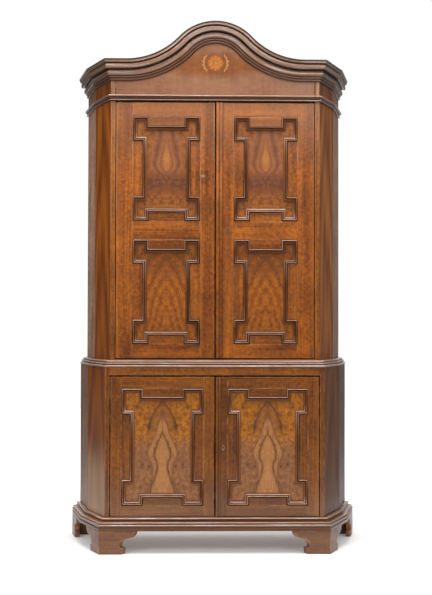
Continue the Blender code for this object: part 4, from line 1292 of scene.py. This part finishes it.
def inlay_piece(name, solid, spots, turns, sizes, finish, seed):
    """Leaves of veneer at given spots, each turned on the face of the frieze."""
    made = repeated(mesh_of(solid, "leaf"), spots, [(0, turn, 0) for turn in turns],
                    [(s, 1, s) for s in sizes], seed, LEAF_PALEST, LEAF_DARKEST, finish)
    place(name, made, finish, "case", "figured_walnut")


def build_inlay():
    """An orange rosette between two curved sprays of pale leaves, let into the frieze."""
    centre = Vector((0, CORNER.y, ROSETTE_HEIGHT))
    angles = [2 * math.pi * i / PETALS for i in range(PETALS)]
    between = [a + math.pi / PETALS for a in angles]
    rim = [HEART_RADIUS * Vector((math.sin(a), 0, math.cos(a))) for a in angles]
    under = centre - FORWARD * VENEER_RISE * 0.5
    heart = skin([[(p.x, y, p.z) for p in rim] for y in (-VENEER_RISE, VENEER_RISE)])
    whole = [1.0] * PETALS
    inlay_piece("inlay_rosette", petal(*PETAL), [centre + p for p in rim], angles, whole, INLAY_ORANGE, 2)
    inlay_piece("inlay_rosette_under", petal(*UNDER_PETAL), [under] * PETALS, between, whole,
                INLAY_BROWN, 3)
    inlay_piece("inlay_rosette_heart", heart, [centre], [0], [HEART_SIZE], INLAY_PALE, 4)
    spots, turns, sizes = [], [], []
    for hand in (-1, 1):
        for i in range(LEAVES):
            angle = SPRAY_ANGLE * (2 * i / (LEAVES - 1) - 1)
            stem = centre + SPRAY_RADIUS * Vector((hand * math.cos(angle), 0, math.sin(angle)))
            for side in (-1, 1):
                spots.append(stem)
                turns.append(hand * (math.pi / 2 - angle + side * LEAF_SPLAY))
                sizes.append(1.0 - LEAF_TAPER * abs(angle) / SPRAY_ANGLE)
    inlay_piece("inlay_sprays", petal(*LEAF), spots, turns, sizes, INLAY_PALE, 6)


def eared_path(left, right, low, high, door):
    """Rectangle whose sides step inwards between four ears, anticlockwise seen from the front."""
    wide, tall = door.ear_width, door.ear_height
    inset, upper, lower = door.side_notch, door.top_notch, door.bottom_notch
    return [Vector(p) for p in (
        (left, low), (left + wide, low), (left + wide, low + lower), (right - wide, low + lower),
        (right - wide, low), (right, low), (right, low + tall), (right - inset, low + tall),
        (right - inset, high - tall), (right, high - tall), (right, high), (right - wide, high),
        (right - wide, high - upper), (left + wide, high - upper), (left + wide, high), (left, high),
        (left, high - tall), (left + inset, high - tall), (left + inset, low + tall), (left, low + tall))]


def eared_moulding(name, path, seat, tall):
    """The raised band mitred round an eared opening."""
    inward = []
    for i, here in enumerate(path):
        before = (here - path[i - 1]).normalized()
        after = (path[(i + 1) % len(path)] - here).normalized()
        inward.append(Vector((-before.y - after.y, 0, before.x + after.x)))
    face = [(x * BAND_WIDTH, z * tall, wear) for x, z, wear in BAND_PROFILE]
    ring = [(JOINT_GAP, 0.0, 0.1), *face, (BAND_WIDTH, 0.0, 0.3)]
    points = [Vector((p.x, seat, p.y)) for p in path]
    tint = tinted(*BAND_TINT)
    return swept(name, points, inward, [FORWARD] * len(path), ring, tint, BAND_WALNUT, closed=True)


def reed(left, width, front, low, high):
    """One rounded reed of a meeting strip."""
    rear = front + REED_SINK
    outline = [Vector((left, rear))]
    for i in range(REED_STEPS + 1):
        turn = math.pi * i / REED_STEPS
        rise = STRIP_RISE * (STRIP_EDGE + (1 - STRIP_EDGE) * math.sin(turn))
        outline.append(Vector((left + width / 2 * (1 - math.cos(turn)), front - rise)))
    outline.append(Vector((left + width, rear)))
    return slab(outline, low, high)


def door_frame(door, name, hand, sides, spans):
    """Stiles, rails, the slips that fill the notches of the eared openings, and the meeting strip."""
    low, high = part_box(f"{name}_frame")
    rear = high.y
    low, high = low + DOOR_SHAVE, high - DOOR_SHAVE
    high.z -= TOP_SHAVE
    front = FACE[door.case]
    slip_rear = front + PANEL_SETBACK
    tint = DOOR_TINTS[door.case]
    left, right = sides
    work = Work()
    for x0, x1 in ((low.x, left), (right, high.x)):
        stile = block((x0, front, low.z), (x1, rear, high.z))
        work.board(stile, upright_grain(), tinted(*tint), HEAVY_ROUND)
    levels = [low.z, *[z for span in spans for z in span], high.z]
    for z0, z1 in zip(levels[::2], levels[1::2]):
        work.board(block((left, front, z0), (right, rear, z1)), level_grain(), shaded(RAIL_SHADE, tint))
    for z0, z1 in spans:
        foot, head = z0 + door.ear_height, z1 - door.ear_height
        for x0, x1 in ((left, left + door.side_notch), (right - door.side_notch, right)):
            work.board(block((x0, front, foot), (x1, slip_rear, head)), upright_grain(),
                       shaded(SLIP_SHADE, tint), SLIP_ROUND)
        x0, x1 = left + door.ear_width, right - door.ear_width
        for foot, head in ((z0, z0 + door.bottom_notch), (z1 - door.top_notch, z1)):
            work.board(block((x0, front, foot), (x1, slip_rear, head)), level_grain(),
                       shaded(SLIP_SHADE, tint), SLIP_ROUND)
    if hand > 0:
        width = door.strip / 2
        for i in range(2):
            work.board(reed(low.x + JOINT_GAP + width * i, width, front, low.z, high.z), upright_grain(),
                       shaded(REED_SHADE, tint), REED_ROUND, REED_WEAR)
    work.place(f"{name}_boards", FRAME_WALNUT, name, "walnut", f"{name}_frame")


def door_panel(door, name, tag, figure, sides, span):
    """A figured veneer on its plain ground, and the eared moulding planted round it."""
    (left, right), (low, high) = sides, span
    x0, x1, z0, z1 = left + JOINT_GAP, right - JOINT_GAP, low + JOINT_GAP, high - JOINT_GAP
    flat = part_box(f"{tag}_panel")
    sheet = flat[0].y + VENEER_T
    middle = Vector(((left + right) / 2, 0, low))
    leaf = Matrix((ACROSS, UP, -FORWARD)).to_4x4() @ Matrix.Translation(-middle)
    grain = Matrix.Translation((0, 0, draw.uniform(0, PANEL_SHIFT))) @ leaf
    single_board(f"{tag}_figured_panel", block((x0, flat[0].y, z0), (x1, sheet, z1)), grain,
                 tinted(1.0, 1.0, 1.0, spread=0.03), figure, name, "figured_walnut", f"{tag}_panel",
                 rounding=VENEER_ROUND)
    single_board(f"{tag}_panel_ground", block((x0, sheet, z0), (x1, flat[1].y, z1)), upright_grain(),
                 tinted(*PANEL_BACK_TINT), INNER_BOARD, name, "inner_wood", f"{tag}_panel",
                 rounding=VENEER_ROUND)
    seat = FACE[door.case] + PANEL_SETBACK
    path = eared_path(left, right, low, high, door)
    mesh = eared_moulding(tag, path, seat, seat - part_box(f"{tag}_moulding")[0].y)
    place(f"{tag}_eared_band", mesh, BAND_WALNUT, name, "walnut_moulding", f"{tag}_moulding")


def build_door(door, word, hand):
    """One door, round the openings that its packed mouldings give."""
    name = f"{door.case}_{word}_door"
    tags = [f"{name}_{tier}".rstrip("_") for tier in door.tiers]
    boxes = [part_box(f"{tag}_moulding") for tag in tags]
    sides = (boxes[0][0].x - JOINT_GAP, boxes[0][1].x + JOINT_GAP)
    spans = [(low.z - JOINT_GAP, high.z + JOINT_GAP) for low, high in boxes]
    door_frame(door, name, hand, sides, spans)
    for tag, tier, span in zip(tags, door.tiers, spans):
        door_panel(door, name, tag, FIGURES[tier], sides, span)


def keyhole_outline(half_width, half_height):
    """Points round a keyhole plate and round the keyhole in it, at the same angles from its eye."""
    plate, hole = [], []
    for i in range(PLATE_STEPS):
        turn = 2 * math.pi * (i + 0.5) / PLATE_STEPS
        aside, up = math.sin(turn), math.cos(turn)
        plate.append((half_width * aside, half_height * up - PLATE_DROP))
        reach = EYE_RADIUS
        if up < 0:
            reach = max(EYE_RADIUS, min(SLOT_HALF / abs(aside), SLOT_LENGTH / abs(up)))
        hole.append((reach * aside, reach * up))
    return plate, hole


def build_keyholes():
    """A small brass plate round each keyhole, over a black disc that paints the shade inside the keyhole.
    """
    plate, hole = keyhole_outline(*PLATE_HALF)
    inner = [(aside * PLATE_FACE[0], up * PLATE_FACE[1]) for aside, up in plate]
    levels = ((plate, -PLATE_SINK), (plate, PLATE_RISE * PLATE_SIDE), (inner, PLATE_RISE),
              (hole, PLATE_RISE), (hole, -PLATE_SINK))
    for case, (x, z) in KEYHOLES.items():
        door = f"{case}_right_door"

        def ring(outline, out):
            return [(x + aside, FACE[case] - out, z + up) for aside, up in outline]

        solid = bmesh.new()
        loops = [[solid.verts.new(p) for p in ring(*level)] for level in levels]
        for one, other in zip(loops, [*loops[1:], loops[0]]):
            for i in range(PLATE_STEPS):
                solid.faces.new((one[i - 1], one[i], other[i], other[i - 1]))
        bmesh.ops.recalc_face_normals(solid, faces=solid.faces)
        place(f"{door}_keyhole_plate", mesh_of(solid, "plate"), KEY_BRASS, door, "brass")
        # A black disc in the shape of the keyhole, as painted shade inside it.
        bush = skin([ring(hole, -SHADE_DISC_SINK), ring(hole, SHADE_DISC_RISE)])
        place(f"{door}_keyhole_bush", mesh_of(bush, "bush"), KEYHOLE_SHADE, door, "iron")


def build_plug():
    """Oval plug of paler wood in the meeting stile of the upper left door."""
    x, z = PLUG_PLACE
    turns = [2 * math.pi * i / PLATE_STEPS for i in range(PLATE_STEPS)]
    rim = [(x + PLUG_HALF[0] * math.sin(t), z + PLUG_HALF[1] * math.cos(t)) for t in turns]
    solid = skin([[(a, CORNER.y - out, b) for a, b in rim] for out in (0.0, PLUG_RISE)])
    single_board("upper_left_door_plug", solid, level_grain(), tinted(*PLUG_TINT), SIDE_WALNUT,
                 "upper_left_door", "walnut", rounding=VENEER_ROUND)


def build_metalwork():
    """Finishes of the pins, locks and bolts, and the screws of the locks."""
    for ending, metal in (("_pin", LOCK_IRON), ("lock_case", LOCK_IRON), ("_bolt", BOLT_BRASS)):
        for node in NODES:
            if node.endswith(ending):
                NODES[node].data.materials.clear()
                NODES[node].data.materials.append(metal)
    for case in CASES:
        low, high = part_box(f"{case}_lock_case")
        spots = [Vector((x, high.y, z)) for x in (low.x + SCREW_INSET, high.x - SCREW_INSET)
                 for z in (low.z + SCREW_INSET, high.z - SCREW_INSET)]
        place(f"{case}_lock_screws", domes(spots, SCREW_RADIUS, 7), LOCK_IRON, f"{case}_right_door", "iron")


def stage_sheet(name, outline, height, finish):
    """A flat sheet of the studio floor."""
    mesh = bpy.data.meshes.new(name)
    mesh.from_pydata([(x, y, height) for x, y in outline], [], [range(len(outline))])
    mesh.materials.append(finish.material)
    sheet = linked(name, mesh)


def build_floor():
    """White paper under and behind the object, on a darker floor."""
    paper = Finish("white_paper")
    paper.shader.inputs["Base Color"].default_value = (0.88, 0.88, 0.88, 1.0)
    paper.shader.inputs["Roughness"].default_value = 0.9
    # The paper glows faintly near the object and more further off, so that it reads white round the
    # object's shadow.
    far = paper.wire.step(paper.wire.vector("LENGTH", paper.spot()), 0.75, 2.4)
    paper.feed("Emission Color", paper.wire.mix(far, (0.14, 0.14, 0.14), (0.45, 0.45, 0.45)))
    paper.shader.inputs["Emission Strength"].default_value = 1.0
    ground = Finish("studio_floor")
    ground.shader.inputs["Base Color"].default_value = (0.34, 0.34, 0.34, 1.0)
    ground.shader.inputs["Roughness"].default_value = 0.9
    low = CAD_BOX[0].z
    stage_sheet("paper", PAPER, low - PAPER_DEPTH, paper)
    stage_sheet("ground", GROUND, low - GROUND_DEPTH, ground)


def build_light():
    """A room that is white ahead and overhead and dim at the sides, and three softboxes."""
    world = bpy.data.worlds.new("studio")
    bpy.context.scene.world = world
    world.use_nodes = True
    room = Wire(world.node_tree, None)
    aside, facing, height = room.add("ShaderNodeTexCoord", {}, {}, "Generated").split()
    wall = room.mix(room.step(aside, 0.1, 0.6), (0.09, 0.09, 0.092), (0.26, 0.26, 0.265))
    tone = room.mix(room.step(height, 0.35, 0.95), wall, (1.3, 1.3, 1.3))
    tone = room.mix(room.step(facing, 0.912, 0.938), tone, (1.0, 1.0, 1.0))
    background = world.node_tree.nodes["Background"]
    world.node_tree.links.new(tone.socket, background.inputs["Color"])
    for name, (spot, size, power) in LAMPS.items():
        lamp = bpy.data.lights.new(name, "AREA")
        lamp.shape = "SQUARE"
        lamp.size = size
        lamp.energy = power
        holder = linked(name, lamp)
        holder.location = spot
        holder.rotation_mode = "QUATERNION"
        holder.rotation_quaternion = (LAMP_AIM - Vector(spot)).to_track_quat("-Z", "Y")


def build_camera():
    """The camera that the photo was taken with, as solved from its edges."""
    lens = bpy.data.cameras.new("camera")
    lens.sensor_width = SENSOR
    lens.lens = FOCAL_PIXELS * SENSOR / IMAGE_HEIGHT
    camera = linked("camera", lens)
    right = Vector((math.cos(CAMERA_YAW), -math.sin(CAMERA_YAW), 0))
    level = Vector((math.sin(CAMERA_YAW), math.cos(CAMERA_YAW), 0))
    ahead = level * math.cos(CAMERA_PITCH) + UP * math.sin(CAMERA_PITCH)
    rolled = Matrix.Rotation(CAMERA_ROLL, 3, -ahead)
    axes = Matrix((rolled @ right, rolled @ right.cross(ahead), -ahead)).transposed()
    camera.matrix_world = Matrix.Translation(CAMERA_PLACE) @ axes.to_4x4()
    bpy.context.scene.camera = camera
    bpy.context.scene.view_settings.view_transform = "Standard"


build_floor()
build_light()
build_camera()
build_feet()
build_base()
build_posts()
build_backs()
build_inner_boards()
moulded_top("lower_top", WAIST_PROFILE, WAIST_GAP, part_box("upper_bottom")[0].z - JOINT_GAP)
moulded_top("upper_top", ARCHITRAVE_PROFILE, -BOLT_RIM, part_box("upper_top")[1].z - JOINT_GAP,
            bolt_notch(-BOLT_RIM - JOINT_GAP))
build_crown()
build_inlay()
for door in DOORS:
    for word, hand in HANDS:
        build_door(door, word, hand)
build_keyholes()
build_plug()
build_metalwork()

for unused in [mesh for mesh in bpy.data.meshes if not mesh.users]:
    bpy.data.meshes.remove(unused)
